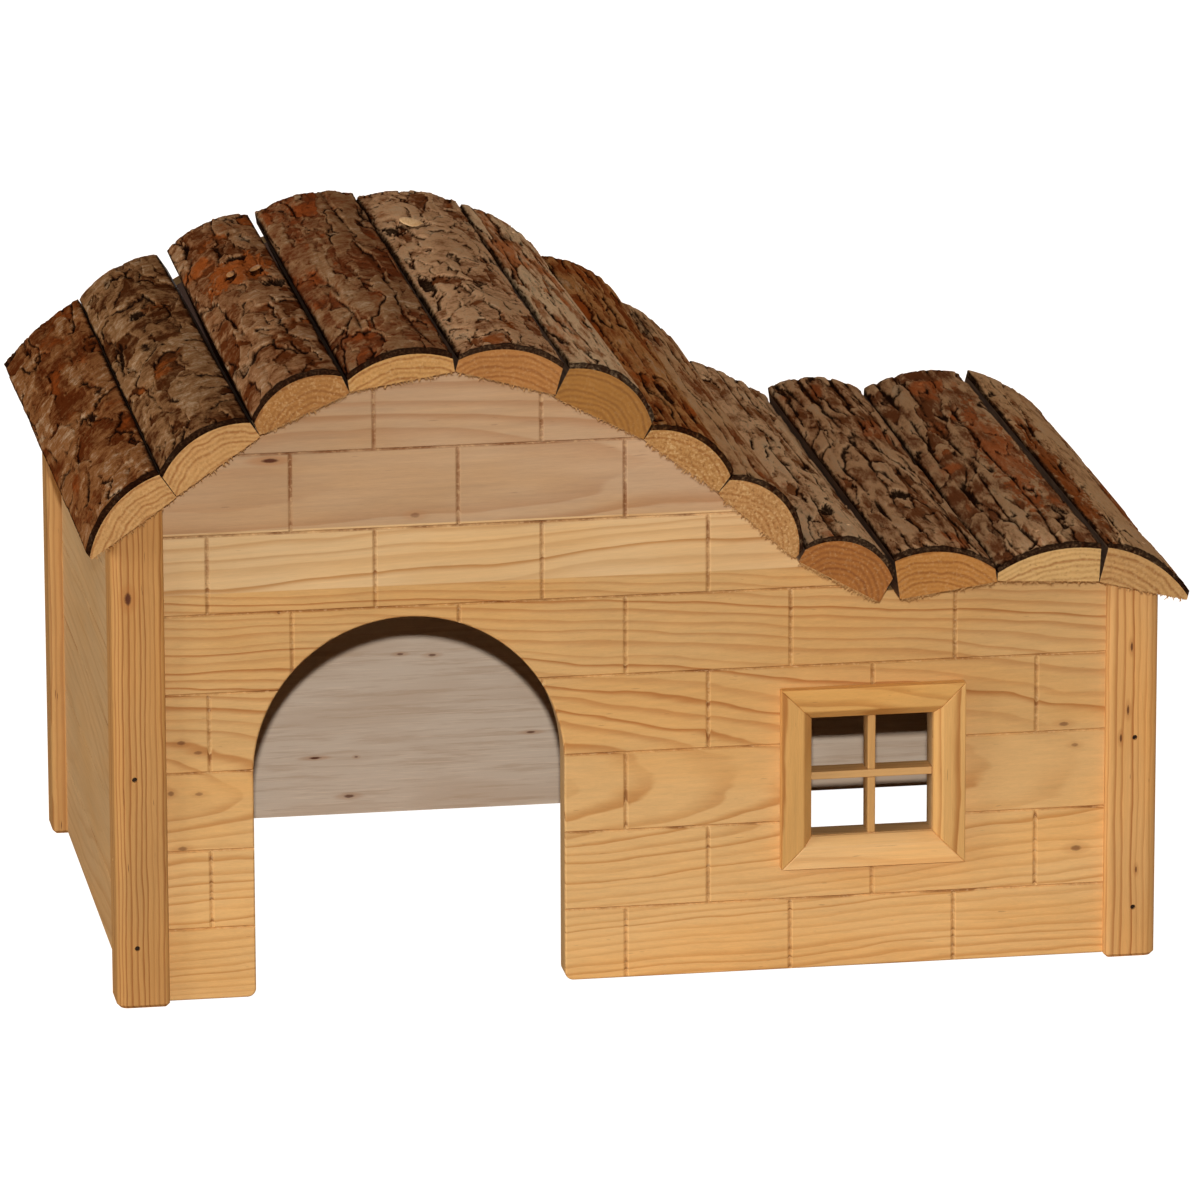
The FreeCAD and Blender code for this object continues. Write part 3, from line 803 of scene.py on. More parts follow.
@dataclass(frozen=True)
class SlabEnd:
    """One end of a slab's wood: its flat underside and its crown."""

    left: Vector
    right: Vector
    crown: CrownArc

    @classmethod
    def of(cls, node: str, front: bool) -> "SlabEnd":
        """Reads an end from the frame.

        Args:
            node: The slab's wood.
            front: True for the front end.

        Returns:
            The end.
        """
        mesh = merged(node)
        way = -1 if front else 1
        reach = max(way * vert.co.y for vert in mesh.verts) - 0.01 * MM
        flat = [face for face in mesh.faces if all(way * vert.co.y > reach for vert in face.verts)]
        (face,) = bmesh.ops.dissolve_faces(mesh, faces=flat)["region"]
        places = [vert.co.copy() for vert in face.verts]
        if (face.normal.y > 0) == front:
            places.reverse()
        if not front:
            places.reverse()
        mesh.free()
        count = len(places)
        start = max(range(count), key=lambda i: (places[i] - places[(i + 1) % count]).length)
        ring = places[start:] + places[:start]
        left, right, crown = ring[0], ring[1], ring[2:]
        middle = min(crown, key=lambda spot: abs((spot - crown[-1]).length - (spot - crown[0]).length))
        return cls(left, right, CrownArc.through(crown[-1], middle, crown[0]))


class Mark(Enum):
    """Kinds of single marks in the bark."""

    PATCH = "smooth pale plate"
    BARE = "bare red wood under the bark"
    CREVICE = "deep dark crevice"
    HOLLOW = "brown hollow before a chip"


@dataclass(frozen=True)
class BarkMark:
    """A single mark at a place on a slab."""

    kind: Mark
    share_x: float                          # place on the slab, from its front left corner
    share_y: float
    half_width: float                       # mm
    half_length: float
    turn: float = 0.0                       # degrees
    strength: float = 1.0

    def cover(self, across: float, along: float, width: float, length: float, ragged: float) -> float:
        """How strongly the mark shows at a place.

        Args:
            across, along: The place, in mm from the slab's front left corner.
            width, length: The slab's size in mm.
            ragged: Noise that frays the mark's edge.

        Returns:
            A share from 0 to 1.
        """
        x, y = across - self.share_x * width, along - self.share_y * length
        turn = math.radians(self.turn)
        x, y = x * math.cos(turn) + y * math.sin(turn), y * math.cos(turn) - x * math.sin(turn)
        away = math.hypot(x / self.half_width, y / self.half_length) + ragged
        return self.strength * (1 - smooth(away, 0.75, 1.1))


@dataclass(frozen=True)
class Relief:
    """What the bark is like at one place."""

    height: float       # share of the bark's thickness
    pit_and_shade: float          # darkness of pits and cracks, and painted shade
    tone: float         # 0 brown to 1 grey
    bare: float         # freshly bared red


@dataclass(frozen=True)
class Flakes:
    """A layer of flakes, each with its own height and lean, so that they step over one another."""

    size: Pair                              # mm across and along
    lift: float                             # how far flakes differ in height
    lean: float                             # how far a flake rises from one side to the other

    def at(self, x: float, y: float, layer: float) -> tuple[float, float, float]:
        """The flake at a place.

        Args:
            x, y: The place, in mm.
            layer: Parts one layer of flakes from another.

        Returns:
            Its height, the shade at the foot of a higher neighbour, and the flake's own luck.
        """
        spot = Vector((x / self.size[0], y / self.size[1], layer))
        reach, centres = noise.voronoi(spot)
        (height, luck), (beside, _) = (self.flake(spot, centre) for centre in centres[:2])
        gap = (reach[1] - reach[0]) * self.size[0]
        return height, smooth(beside - height, 0.03, 0.30) * (1 - smooth(gap, 0.1, 0.9)), luck

    def flake(self, spot: Vector, centre: Vector) -> Pair:
        """The height of one flake at a spot, and the flake's luck from 0 to 1."""
        luck, turn = chance(centre * 13.7), chance(centre * 7.1) * math.tau
        offset = spot - centre
        rise = offset.x * math.cos(turn) + offset.y * math.sin(turn)
        return self.lift * (luck - 0.5) + rise * self.lean, luck


@dataclass(frozen=True)
class Layers:
    """Thin layers that scaled off to different depths, each with a ragged edge."""

    size: Pair                              # mm from hill to hollow, across and along
    steps: float                            # layers from the lowest place to the highest

    def at(self, x: float, y: float, layer: float) -> tuple[float, float, float]:
        """The layer that shows at a place.

        Args:
            x, y: The place, in mm.
            layer: Parts one slab's layers from another's.

        Returns:
            Its height from about 0 to 1, the shade at the foot of the next layer, and the layer's luck.
        """
        hill = 0.5 + 0.6 * noise.fractal(Vector((x / self.size[0], y / self.size[1], layer)), 0.9, 2.2, 2)
        level = math.floor(hill * self.steps)
        share = hill * self.steps - level
        luck = 0.5 + 0.9 * noise.noise(Vector((x / 7, y / 10, level * 5.3 + layer)))
        return (level + smooth(share, 0.0, 0.16) + 0.3 * share) / self.steps, smooth(share, 0.86, 1.0), luck


@dataclass(frozen=True)
class BarkCharacter:
    """How one slab's bark cracked and flaked as its log grew."""

    seed: float
    plates: Flakes = Flakes((6.0, 20.0), 0.36, 0.32)
    layers: Layers = Layers((6.5, 22.0), 3.6)
    cracks: Pair = (8.0, 30.0)              # mm between cracks, across and along
    swirl: float = 1.0
    drawn: float = 0.38                     # under 1 draws the stray lines out along the slab
    follow: float = 0.3                     # how far the furrows show
    grey: float = 0.5
    bare: float = 0.3
    marks: tuple[BarkMark, ...] = ()
    middle: float = 0.68                    # height without a crack or flake, as a share of the thickness
    lowest: float = 0.14
    highest: float = 0.98
    end_height: float = 0.92                # at the slab's sawn ends
    patch_height: float = 0.88              # of a smooth pale plate

    def stray(self, across: float, along: float) -> Vector:
        """How far the bark's lines stray at a place, in mm."""
        spot = Vector((across, along * self.drawn, self.seed * 31.7))
        drift = noise.noise_vector(spot * 0.11) * 3.2 * self.swirl
        drift += noise.noise_vector(spot * 0.36) * (0.5 + 1.1 * self.swirl)
        drift += noise.noise_vector(spot * 1.2) * 0.45
        return Vector((drift.x, drift.y * 2.5, drift.z))

    def crack(self, x: float, y: float, layer: float) -> float:
        """How deep a crack is at a place: cracks run where slow noise changes sign, and come and go."""
        spot = Vector((x / self.cracks[0], y / self.cracks[1], layer + 9))
        line = 1 - smooth(abs(noise.noise(spot)), 0.0, 0.11)
        return line * smooth(noise.noise(spot * 1.7 + Vector((7, 0, 0))), -0.25, 0.2)

    def at(self, across: float, along: float, width: float, length: float, cut: float) -> Relief:
        """Works out the bark at a place.

        Args:
            across, along: The place, in mm from the slab's front left corner.
            width, length: The slab's size in mm.
            cut: How deep a furrow is there, as a share of the bark's thickness.

        Returns:
            The relief there.
        """
        drift = self.stray(across, along)
        x, y, layer = across + drift.x, along + drift.y, self.seed * 17.3
        plate, shade, luck = self.plates.at(x, y, layer)
        terrace, foot, speck = self.layers.at(x, y, layer + 5)
        fibre = noise.fractal(Vector((x * 1.5, y * 0.4, layer)), 0.8, 2.2, 3)
        slow = noise.fractal(Vector((across * 0.085, along * 0.05, layer)), 1.0, 2.0, 3)
        crack = self.crack(x, y, layer)
        open_part = smooth(noise.noise(Vector((x * 0.2, y * 0.07, layer + 4))), -0.4, 0.3)
        cut *= self.follow * (0.45 + 0.55 * open_part)
        height = self.middle - cut + plate + 0.75 * (terrace - 0.5) + 0.08 * fibre - 0.35 * crack
        # Dark cracks and furrows, with painted shade at the feet of higher flakes and layers.
        pit_and_shade = 0.55 * crack + 0.5 * smooth(cut, 0.2, 0.5) + 0.5 * shade + 0.2 * foot
        tone = self.grey + 0.8 * (luck - 0.5) + 0.8 * (speck - 0.5) + 0.4 * (terrace - 0.5) - 0.4 * cut
        bare = smooth(slow + self.bare - 0.5, -0.2, 0.4) * (1.2 - luck - 0.3 * speck)
        for mark in self.marks:
            cover = mark.cover(across, along, width, length, 0.4 * fibre + 0.5 * (terrace - 0.5))
            if mark.kind is Mark.PATCH:
                height += cover * (self.patch_height - height) * 0.7
                pit_and_shade, tone, bare = pit_and_shade * (1 - 0.6 * cover), tone + cover * 0.4, bare * (1 - cover)
            elif mark.kind is Mark.BARE:
                bare, tone, pit_and_shade = max(bare, cover), tone * (1 - 0.6 * cover), pit_and_shade * (1 - 0.5 * cover)
            elif mark.kind is Mark.CREVICE:
                height, pit_and_shade = height - 0.5 * cover, max(pit_and_shade, cover)
            elif mark.kind is Mark.HOLLOW:
                height, pit_and_shade = height - 0.5 * cover, max(pit_and_shade, 0.55 * cover)
        side = min(across, width - across) + 0.12 * fibre
        end = min(along, 0.8 + length - along) + 0.35 * fibre
        height *= 0.74 + 0.26 * smooth(side, -0.1, 0.9)
        height += (self.end_height - height) * 0.75 * (1 - smooth(end, 0.4, 1.6))
        # Darker along the sawn ends and the long edges: partly the bark's own dark cut edge, partly painted
        # shade.
        pit_and_shade = max(pit_and_shade, 1 - smooth(end, 0.35, 1.7), 0.55 * (1 - smooth(side, 0.0, 0.8)))
        return Relief(min(max(height, self.lowest), self.highest), pit_and_shade, tone, bare)


RELIEF = "bark_relief"              # the mesh's own colours: pits with painted shade, tone with a painted highlight, and bare wood
SHARES = "share_x", "share_y"       # and its places, as shares of the slab's width and length


@dataclass(frozen=True)
class RoofSlab:
    """One slab: its wood's finish, its bark's finish and character, and the chips on it."""

    number: int
    wood: dict = field(default_factory=dict)
    bark: dict = field(default_factory=dict)
    character: dict = field(default_factory=dict)
    chips: tuple[tuple[float, ...], ...] = ()   # place in shares, half sizes in mm, degrees of lean
    chip_wood: tuple[Bytes, Bytes] = ((226, 174, 116), (250, 208, 154))
    splinters: float = 0.4

    @property
    def tag(self) -> str:
        """The slab's number as its pieces' names have it."""
        return f"{self.number:02d}"


@dataclass
class BarkRoof:
    """The twelve slabs, dressed, with their bark, splinters and chips."""

    effects: Effects
    slabs: tuple[RoofSlab, ...]
    thickness: float = 1.5
    cell: Pair = (0.28, 0.52)               # mm, across and along
    bore: float = 0.6                       # radius of the brads' holes
    bore_inset: float = 12.75               # mm from a slab's end to a brad
    quick_coarse: float = 3.0
    furrow_stray: float = 0.2               # how far the furrows stray with the bark's lines
    edge_inset: float = 0.004               # share of the slab that no ray is cast at
    shades: tuple[Pair, ...] = ((0.6, 2.6), (1.7, 1.5))     # mm that a hollow's shade reaches, and its gain
    raised_highlight: float = 0.6                  # painted highlight: how much greyer and paler a place gets that stands out
    under: Pair = (0.95, 0.25)              # darkness and redness of the bark's walls and underside
    crease: float = 60.0                    # degrees between faces from which an edge is sharp
    rims: Pair = (1.05, 1.5)                # shares of the bore from which flat and upright rims are drawn in
    splinters_per_slab: int = 260
    chip_height: float = 0.64               # share of the bark's thickness
    chip_half_height: float = 0.3
    chip_grit: float = 0.05
    ends: dict[int, tuple[SlabEnd, SlabEnd]] = field(default_factory=dict)

    def build(self) -> None:
        """Builds and dresses every slab."""
        for slab in self.slabs:
            node = f"roof_slab_{slab.tag}"
            self.ends[slab.number] = SlabEnd.of(node, True), SlabEnd.of(node, False)
            self.dress_wood(slab, node)
            self.build_bark(slab)
        self.build_splinters()
        self.build_chips()

    def out_of(self, slab: RoofSlab) -> Vector:
        """The unit normal of a slab's flat underside, on its bark's side."""
        front, _ = self.ends[slab.number]
        return (front.right - front.left).normalized().cross(Vector((0, 1, 0)))

    def dress_wood(self, slab: RoofSlab, node: str) -> None:
        """Gives a slab's wood end grain about the centre of its own crown."""
        front, _ = self.ends[slab.number]
        heart = front.crown.centre.x / MM, front.crown.centre.z / MM
        finish = SawnFinish(f"slab_wood_{slab.tag}", heart, front.left, self.out_of(slab), **slab.wood)
        dress(node, finish.material(self.effects))

    def build_bark(self, slab: RoofSlab) -> None:
        """Builds one slab's bark: a fine grid over the crown, its walls and its underside."""
        front, rear = self.ends[slab.number]
        width = (front.right - front.left).length / MM
        length = (rear.left - front.left).y / MM
        mesh = bmesh.new()
        self.carve(slab, mesh, width, length)
        self.thicken(slab, mesh, self.bore_inset / length)
        for edge in mesh.edges:
            if edge.calc_face_angle(0.0) > math.radians(self.crease):
                edge.smooth = False
        bmesh.ops.recalc_face_normals(mesh, faces=mesh.faces)
        finish = BarkFinish(f"bark_{slab.tag}", **slab.bark).material(self.effects)
        finished(mesh, f"bark_relief_{slab.tag}", finish, [f"bark_{slab.tag}"])

    def carve(self, slab: RoofSlab, mesh: bmesh.types.BMesh, width: float, length: float) -> None:
        """Makes the bark's upper sheet, and writes its pits with painted shade, its tone with a painted
        highlight on raised places, and its bare wood to the mesh.

        Args:
            slab: The slab.
            mesh: The empty mesh.
            width, length: The slab's size in mm.
        """
        out = self.out_of(slab)
        coarse = 1.0
        counts = [max(2, round(size / (cell * coarse))) for size, cell in zip((width, length), self.cell)]
        bmesh.ops.create_grid(mesh, x_segments=counts[0], y_segments=counts[1], size=0.5)
        for face in mesh.faces:
            face.smooth = True
        share_x, share_y = (mesh.verts.layers.float.new(name) for name in SHARES)
        tint = mesh.verts.layers.float_color.new(RELIEF)
        character = BarkCharacter(seed=slab.number, **slab.character)
        solid = merged(f"bark_{slab.tag}")
        tree = BVHTree.FromBMesh(solid)
        solid.free()
        places = [[None] * (counts[0] + 1) for _ in range(counts[1] + 1)]
        for vert in mesh.verts:
            vert[share_x], vert[share_y] = vert.co.x + 0.5, vert.co.y + 0.5
            across, along = vert[share_x] * width, vert[share_y] * length
            stray = character.stray(across, along) * self.furrow_stray
            cut = self.furrow_cut(slab, tree, (across + stray.x) / width, (along + stray.y) / length, out)
            relief = character.at(across, along, width, length, cut)
            places[round(vert[share_y] * counts[1])][round(vert[share_x] * counts[0])] = vert, relief
        heights = [[relief.height for _, relief in row] for row in places]
        fields = [softened(heights, max(1, round(reach / self.cell[0] / coarse))) for reach, _ in self.shades]
        for row, *lines in zip(places, *fields):
            for (vert, relief), *means in zip(row, *lines):
                # Painted shade where the height lies below its softened mean, and a painted highlight where
                # it stands above.
                hollow = sum(gain * (mean - relief.height) for (_, gain), mean in zip(self.shades, means))
                rise = out * relief.height * self.thickness * MM
                vert.co = self.on_crown(slab, vert[share_x], vert[share_y]) + rise
                # Painted highlight: places that stand out turn greyer and paler.
                highlight = self.raised_highlight * max(-hollow, 0.0)
                values = relief.pit_and_shade + max(hollow, 0.0), relief.tone + highlight, relief.bare
                vert[tint] = *(min(max(value, 0.0), 1.0) for value in values), 1.0

    def thicken(self, slab: RoofSlab, mesh: bmesh.types.BMesh, inset: float) -> None:
        """Opens the brads' holes, and adds the bark's walls and underside.

        Args:
            slab: The slab.
            mesh: The bark's upper sheet.
            inset: The share of the slab's length from an end to a brad.
        """
        out = self.out_of(slab)
        share_x, share_y = (mesh.verts.layers.float[name] for name in SHARES)
        tint = mesh.verts.layers.float_color[RELIEF]
        axes = [self.on_crown(slab, 0.5, share) for share in (inset, 1 - inset)]
        self.cut_bores(mesh, axes, out)
        sheet = bmesh.ops.extrude_face_region(mesh, geom=mesh.faces[:], use_keep_orig=True)["geom"]
        for vert in (part for part in sheet if isinstance(part, bmesh.types.BMVert)):
            vert.co = self.on_crown(slab, vert[share_x], vert[share_y])
            vert[tint] = self.under[0], vert[tint][1], self.under[1], 1.0
        self.round_bores(mesh, axes, out)

    def furrow_cut(self, slab: RoofSlab, tree: BVHTree, across: float, along: float, out: Vector) -> float:
        """How deep the frame's bark is furrowed at a place.

        Args:
            slab: The slab.
            tree: The frame's bark, to cast rays at.
            across, along: Shares of the slab's width and length.
            out: The way out of the slab.

        Returns:
            The depth as a share of the bark's thickness.
        """
        edge = self.edge_inset
        across, along = (min(max(share, edge), 1 - edge) for share in (across, along))
        spot = self.on_crown(slab, across, along)
        full = self.thickness * MM
        hit, *_ = tree.ray_cast(spot + out * 2 * full, -out, 2 * full)
        return min(max(1 - (hit - spot).dot(out) / full, 0.0), 1.0) if hit else 0.0

    def on_crown(self, slab: RoofSlab, across: float, along: float) -> Vector:
        """The point of a slab's wooden crown at shares of its width and length."""
        front, rear = self.ends[slab.number]
        return front.crown.at(across).lerp(rear.crown.at(across), along)

    def cut_bores(self, mesh: bmesh.types.BMesh, axes: Sequence[Vector], out: Vector) -> None:
        """Takes out the faces over each brad's hole.

        Args:
            mesh: The bark's upper sheet.
            axes: A point on each hole's axis.
            out: The axes' direction.
        """
        def inside(spot: Vector) -> bool:
            return any((spot - axis).cross(out).length < self.bore * MM for axis in axes)

        covering = [face for face in mesh.faces if inside(face.calc_center_median())]
        bmesh.ops.delete(mesh, geom=covering, context="FACES")

    def round_bores(self, mesh: bmesh.types.BMesh, axes: Sequence[Vector], out: Vector) -> None:
        """Draws the stepped rims of the holes onto a circle, above and below alike."""
        for vert in mesh.verts:
            for axis in axes:
                offset = vert.co - axis
                across = offset - out * offset.dot(out)
                near = self.bore * MM
                flat, upright = (near * share for share in self.rims)
                if 0 < across.length < flat or (across.length < upright and self.at_rim(vert, out)):
                    vert.co += across * (near / across.length - 1)

    def at_rim(self, vert: bmesh.types.BMVert, out: Vector) -> bool:
        """True if an edge of the vertex runs straight down through the bark."""
        runs = (edge.other_vert(vert).co - vert.co for edge in vert.link_edges)
        return any(run.length > 0.1 * MM and abs(run.normalized().dot(out)) > 0.98 for run in runs)

    def build_splinters(self) -> None:
        """Builds the sawn fibres that hang from the slabs' lower front edges."""
        mesh = bmesh.new()
        for slab in self.slabs:
            front, _ = self.ends[slab.number]
            for number in range(round(self.splinters_per_slab * slab.splinters)):
                seed = Vector((slab.number * 3.1, number * 1.7, 0.5))
                luck = (chance(seed + Vector((0, 0, turn * 2.3))) for turn in range(5))
                place, long, aside, inward, curl = luck
                root = front.left.lerp(front.right, 0.03 + 0.94 * place) + Vector((0, 0.15, 0.12)) * MM
                size = (0.3 + 1.0 * long ** 3) * MM
                way = Vector((aside - 0.5, 0.4 * inward, -0.75)).normalized()
                turn = way.to_track_quat("Z", "X").to_matrix().to_4x4()
                spot = Matrix.Translation(root + way * size / 2) @ turn
                made = bmesh.ops.create_cone(mesh, cap_ends=True, segments=4, radius1=0.15 * MM,
                                             radius2=0.07 * MM, depth=size, matrix=spot)
                for vert in made["verts"]:
                    reach = (vert.co - root).dot(way)
                    vert.co.x += (curl - 0.5) * 0.9 * reach * reach / size
        finish = SawnFinish("sawn_fibres", ring=3.0, side=(178, 126, 72), side_streaks=(214, 168, 108))
        finished(mesh, "sawn_fibres", finish.material(self.effects))

    def build_chips(self) -> None:
        """Builds the pale chips of wood that stand out of the bark, leaning toward the front."""
        for slab in (slab for slab in self.slabs if slab.chips):
            mesh = bmesh.new()
            out = self.out_of(slab)
            front, _ = self.ends[slab.number]
            across = (front.right - front.left).normalized()
            upright = Matrix((across, (0, 1, 0), out)).transposed().to_4x4()
            for share_x, share_y, half_width, half_length, lean in slab.chips:
                place = self.on_crown(slab, share_x, share_y) + out * self.thickness * self.chip_height * MM
                size = Matrix.Diagonal((half_width * MM, half_length * MM, self.chip_half_height * MM, 1.0))
                leant = Matrix.Rotation(math.radians(lean), 4, "X")
                spot = Matrix.Translation(place) @ upright @ leant @ size
                bmesh.ops.create_icosphere(mesh, subdivisions=3, radius=1.0, matrix=spot)
            for vert in mesh.verts:
                vert.co += noise.noise_vector(vert.co * 500) * self.chip_grit * MM
            for face in mesh.faces:
                face.smooth = True
            side, streaks = slab.chip_wood
            finish = SawnFinish(f"chip_wood_{slab.tag}", ring=0.9, side=side, side_streaks=streaks)
            finished(mesh, f"bark_chips_{slab.tag}", finish.material(self.effects))


@dataclass
class Walls:
    """The four scored boards and the four posts."""

    effects: Effects
    front: tuple[Strip, ...] = (
        # The lowest zone is the same wood as the strip above, lighter toward the floor: partly the wood's own
        # tone, partly painted light from below.
        Strip(50.0, (-24.0, 50.0), (0.0, 5.0), 1.8, 2.0, 0.8, (235, 186, 120), (200, 138, 70), blend=22.0),
        Strip(96.0, (-24.0, 50.0), (0.0, 5.0), 1.8, 2.0, 0.9, (214, 168, 107), (174, 110, 49)),
        Strip(110.2, (30.0, 60.0), (2.2, 0.0), 2.6, 2.4, 0.9, (224, 186, 134), (184, 130, 70), piece=1),
        # The top strip, darker and pinker: partly its own wood, partly painted shade under the slabs.
        Strip(160.0, (-16.0, 121.0), (0.5, 2.0), 3.0, 2.2, 0.55, (196, 160, 122), (166, 114, 68), piece=2),
    )
    rear: tuple[Strip, ...] = (
        Strip(62.0, (-30.0, 20.0), (0.0, 1.6), 2.4, 3.0, 0.7, piece=3),
        Strip(118.0, (-22.0, 96.0), (0.0, -1.4), 2.1, 3.0, 0.7, piece=4),
        Strip(160.0, (-18.0, 150.0), (0.0, 1.8), 2.8, 3.0, 0.6, piece=5),
    )
    left: tuple[Strip, ...] = (
        Strip(70.0, (-26.0, 30.0), (0.0, 1.5), 2.2, 2.0, 0.4, (206, 166, 114), (180, 128, 72), piece=6),
        Strip(160.0, (-20.0, 100.0), (0.0, -1.5), 2.4, 2.0, 0.4, (206, 168, 118), (180, 130, 76), piece=7),
    )
    right: tuple[Strip, ...] = (
        Strip(58.0, (-20.0, 34.0), (0.0, -1.5), 2.3, 2.0, 0.6, piece=8),
        Strip(160.0, (-28.0, 90.0), (0.0, 1.2), 2.1, 2.0, 0.6, piece=9),
    )
    front_knots: tuple[Knot, ...] = (
        Knot(-82.1, 126.3, 2.4, 0.6), Knot(-49.4, 112.2, 1.3, 0.7, 0.45), Knot(99.9, 55.9, 1.4, 0.6, 0.6),
        Knot(102.5, 50.8, 1.0, 0.5, 0.5), Knot(103.0, 26.1, 1.5, 0.8, 0.6), Knot(-103.0, 61.5, 1.2, 0.6, 0.6),
        Knot(-99.2, 59.0, 1.2, 0.5, 0.55), Knot(-105.5, 49.7, 0.9, 0.7, 0.6),
        Knot(-99.1, 49.3, 1.1, 0.5, 0.5),
        Knot(-103.0, 36.6, 1.3, 0.6, 0.55), Knot(-80.5, 90.9, 0.5, 0.4, 0.7),
    )
    rear_knots: tuple[Knot, ...] = (        # on its inner face, seen through the entrance
        Knot(54.7, 15.0, 1.8, 0.35), Knot(2.1, 18.9, 1.4, 0.35, 0.8), Knot(46.5, 5.0, 1.6, 0.5, 0.8),
        Knot(26.0, 39.4, 1.2, 0.4, 0.7), Knot(33.8, 40.0, 1.0, 0.35, 0.7), Knot(44.7, 14.8, 0.5, 0.3, 0.6),
    )

    def build(self) -> None:
        """Dresses every board and post."""
        boards = (
            BoardFinish("pine_front", self.front, (0, -1, 0), 72.5, self.front_knots),
            BoardFinish("pine_rear", self.rear, (0, 1, 0), 72.5, (), (224, 198, 171), self.rear_knots),
            BoardFinish("pine_left", self.left, (-1, 0, 0), 115.07),
            BoardFinish("pine_right", self.right, (1, 0, 0), 117.93),
        )
        for name, board in zip(("front_panel", "rear_panel", "left_panel", "right_panel"), boards):
            dress(name, board.material(self.effects))
            log.info("%s: %d strips", name, len(board.strips))
        posts = (
            ("post_front_left", (-190.0, -40.0, 0.0), 1.1, (198, 146, 84), (154, 94, 40)),
            ("post_front_right", (60.0, -52.0, 0.0), 1.6, (224, 170, 104), (172, 104, 44)),
            ("post_rear_left", (-180.0, 50.0, 0.0), 1.4, (192, 142, 82), (154, 96, 42)),
            ("post_rear_right", (170.0, 60.0, 0.0), 1.5, (204, 156, 98), (166, 106, 50)),
        )
        slits = {
            "post_front_left": (Knot(-114.8, 96.4, 0.9, 1.8),),
            "post_front_right": (Knot(115.0, 74.2, 0.35, 1.3, 0.9), Knot(114.3, 59.2, 0.35, 1.4, 0.9),
                                 Knot(112.7, 52.6, 0.35, 1.2, 0.9), Knot(116.6, 21.0, 0.3, 0.9, 0.8)),
        }
        for node, heart, ring, early, late in posts:
            finish = StickFinish(f"pine_{node}", Axis.UPRIGHT, heart, ring, 0.5, 0.9, early, late, 0.9,
                                 slits=slits.get(node, ()))
            dress(node, finish.material(self.effects))
            log.info("%s dressed", node)


@dataclass
class Window:
    """The mitred rails and the two crossing bars, with their edges eased."""

    effects: Effects
    easing: float = 0.25
    centre: Pair = (55.23, 46.4)

    def build(self) -> None:
        """Builds and dresses the rails and bars."""
        x, z = self.centre
        finishes = {
            "window_rail_top": StickFinish("rail_top", Axis.ACROSS, (x, -66.0, z + 26), 2.3, 2.6, 0.6,
                                           (224, 170, 96), (182, 116, 46), tilt=(0.0, 5.0)),
            "window_rail_right": StickFinish("rail_right", Axis.UPRIGHT, (x + 12, -64.0, 0), 2.2, 2.0, 0.8,
                                             (226, 174, 104), (176, 110, 46)),
            "window_rail_bottom": StickFinish("rail_bottom", Axis.ACROSS, (x, -60.0, z - 34), 2.6, 1.5, 0.45,
                                              (246, 196, 130), (218, 154, 86)),
            "window_rail_left": StickFinish("rail_left", Axis.UPRIGHT, (x - 26, -62.0, 0), 2.3, 2.0, 0.8,
                                            (220, 166, 94), (174, 106, 42)),
            "window_bar_upright": StickFinish("bar_upright", Axis.UPRIGHT, (x + 9, -60.0, 0), 1.6, 1.0, 0.5,
                                              (206, 160, 100)),
            "window_bar_level": StickFinish("bar_level", Axis.ACROSS, (x, -60.0, z + 9), 1.6, 1.0, 0.5,
                                            (214, 168, 108)),
        }
        for node, finish in finishes.items():
            mesh = merged(node)
            bmesh.ops.dissolve_limit(mesh, angle_limit=math.radians(1), verts=mesh.verts, edges=mesh.edges)
            bmesh.ops.bevel(mesh, geom=mesh.edges[:], offset=self.easing * MM, offset_type="OFFSET",
                            segments=2, profile=0.5, affect="EDGES", material=-1, clamp_overlap=True)
            finished(mesh, f"eased_{node}", finish.material(self.effects), [node])


@dataclass
class Brads:
    """The nails sunk in posts and slabs."""

    nodes: tuple[str, ...] = ("side_panel_brads", "front_panel_brads", "rear_panel_brads", "roof_brads_front",
                              "roof_brads_rear")

    def build(self) -> None:
        """Dresses the brads."""
        steel = SteelFinish().material()
        for node in self.nodes:
            dress(node, steel)


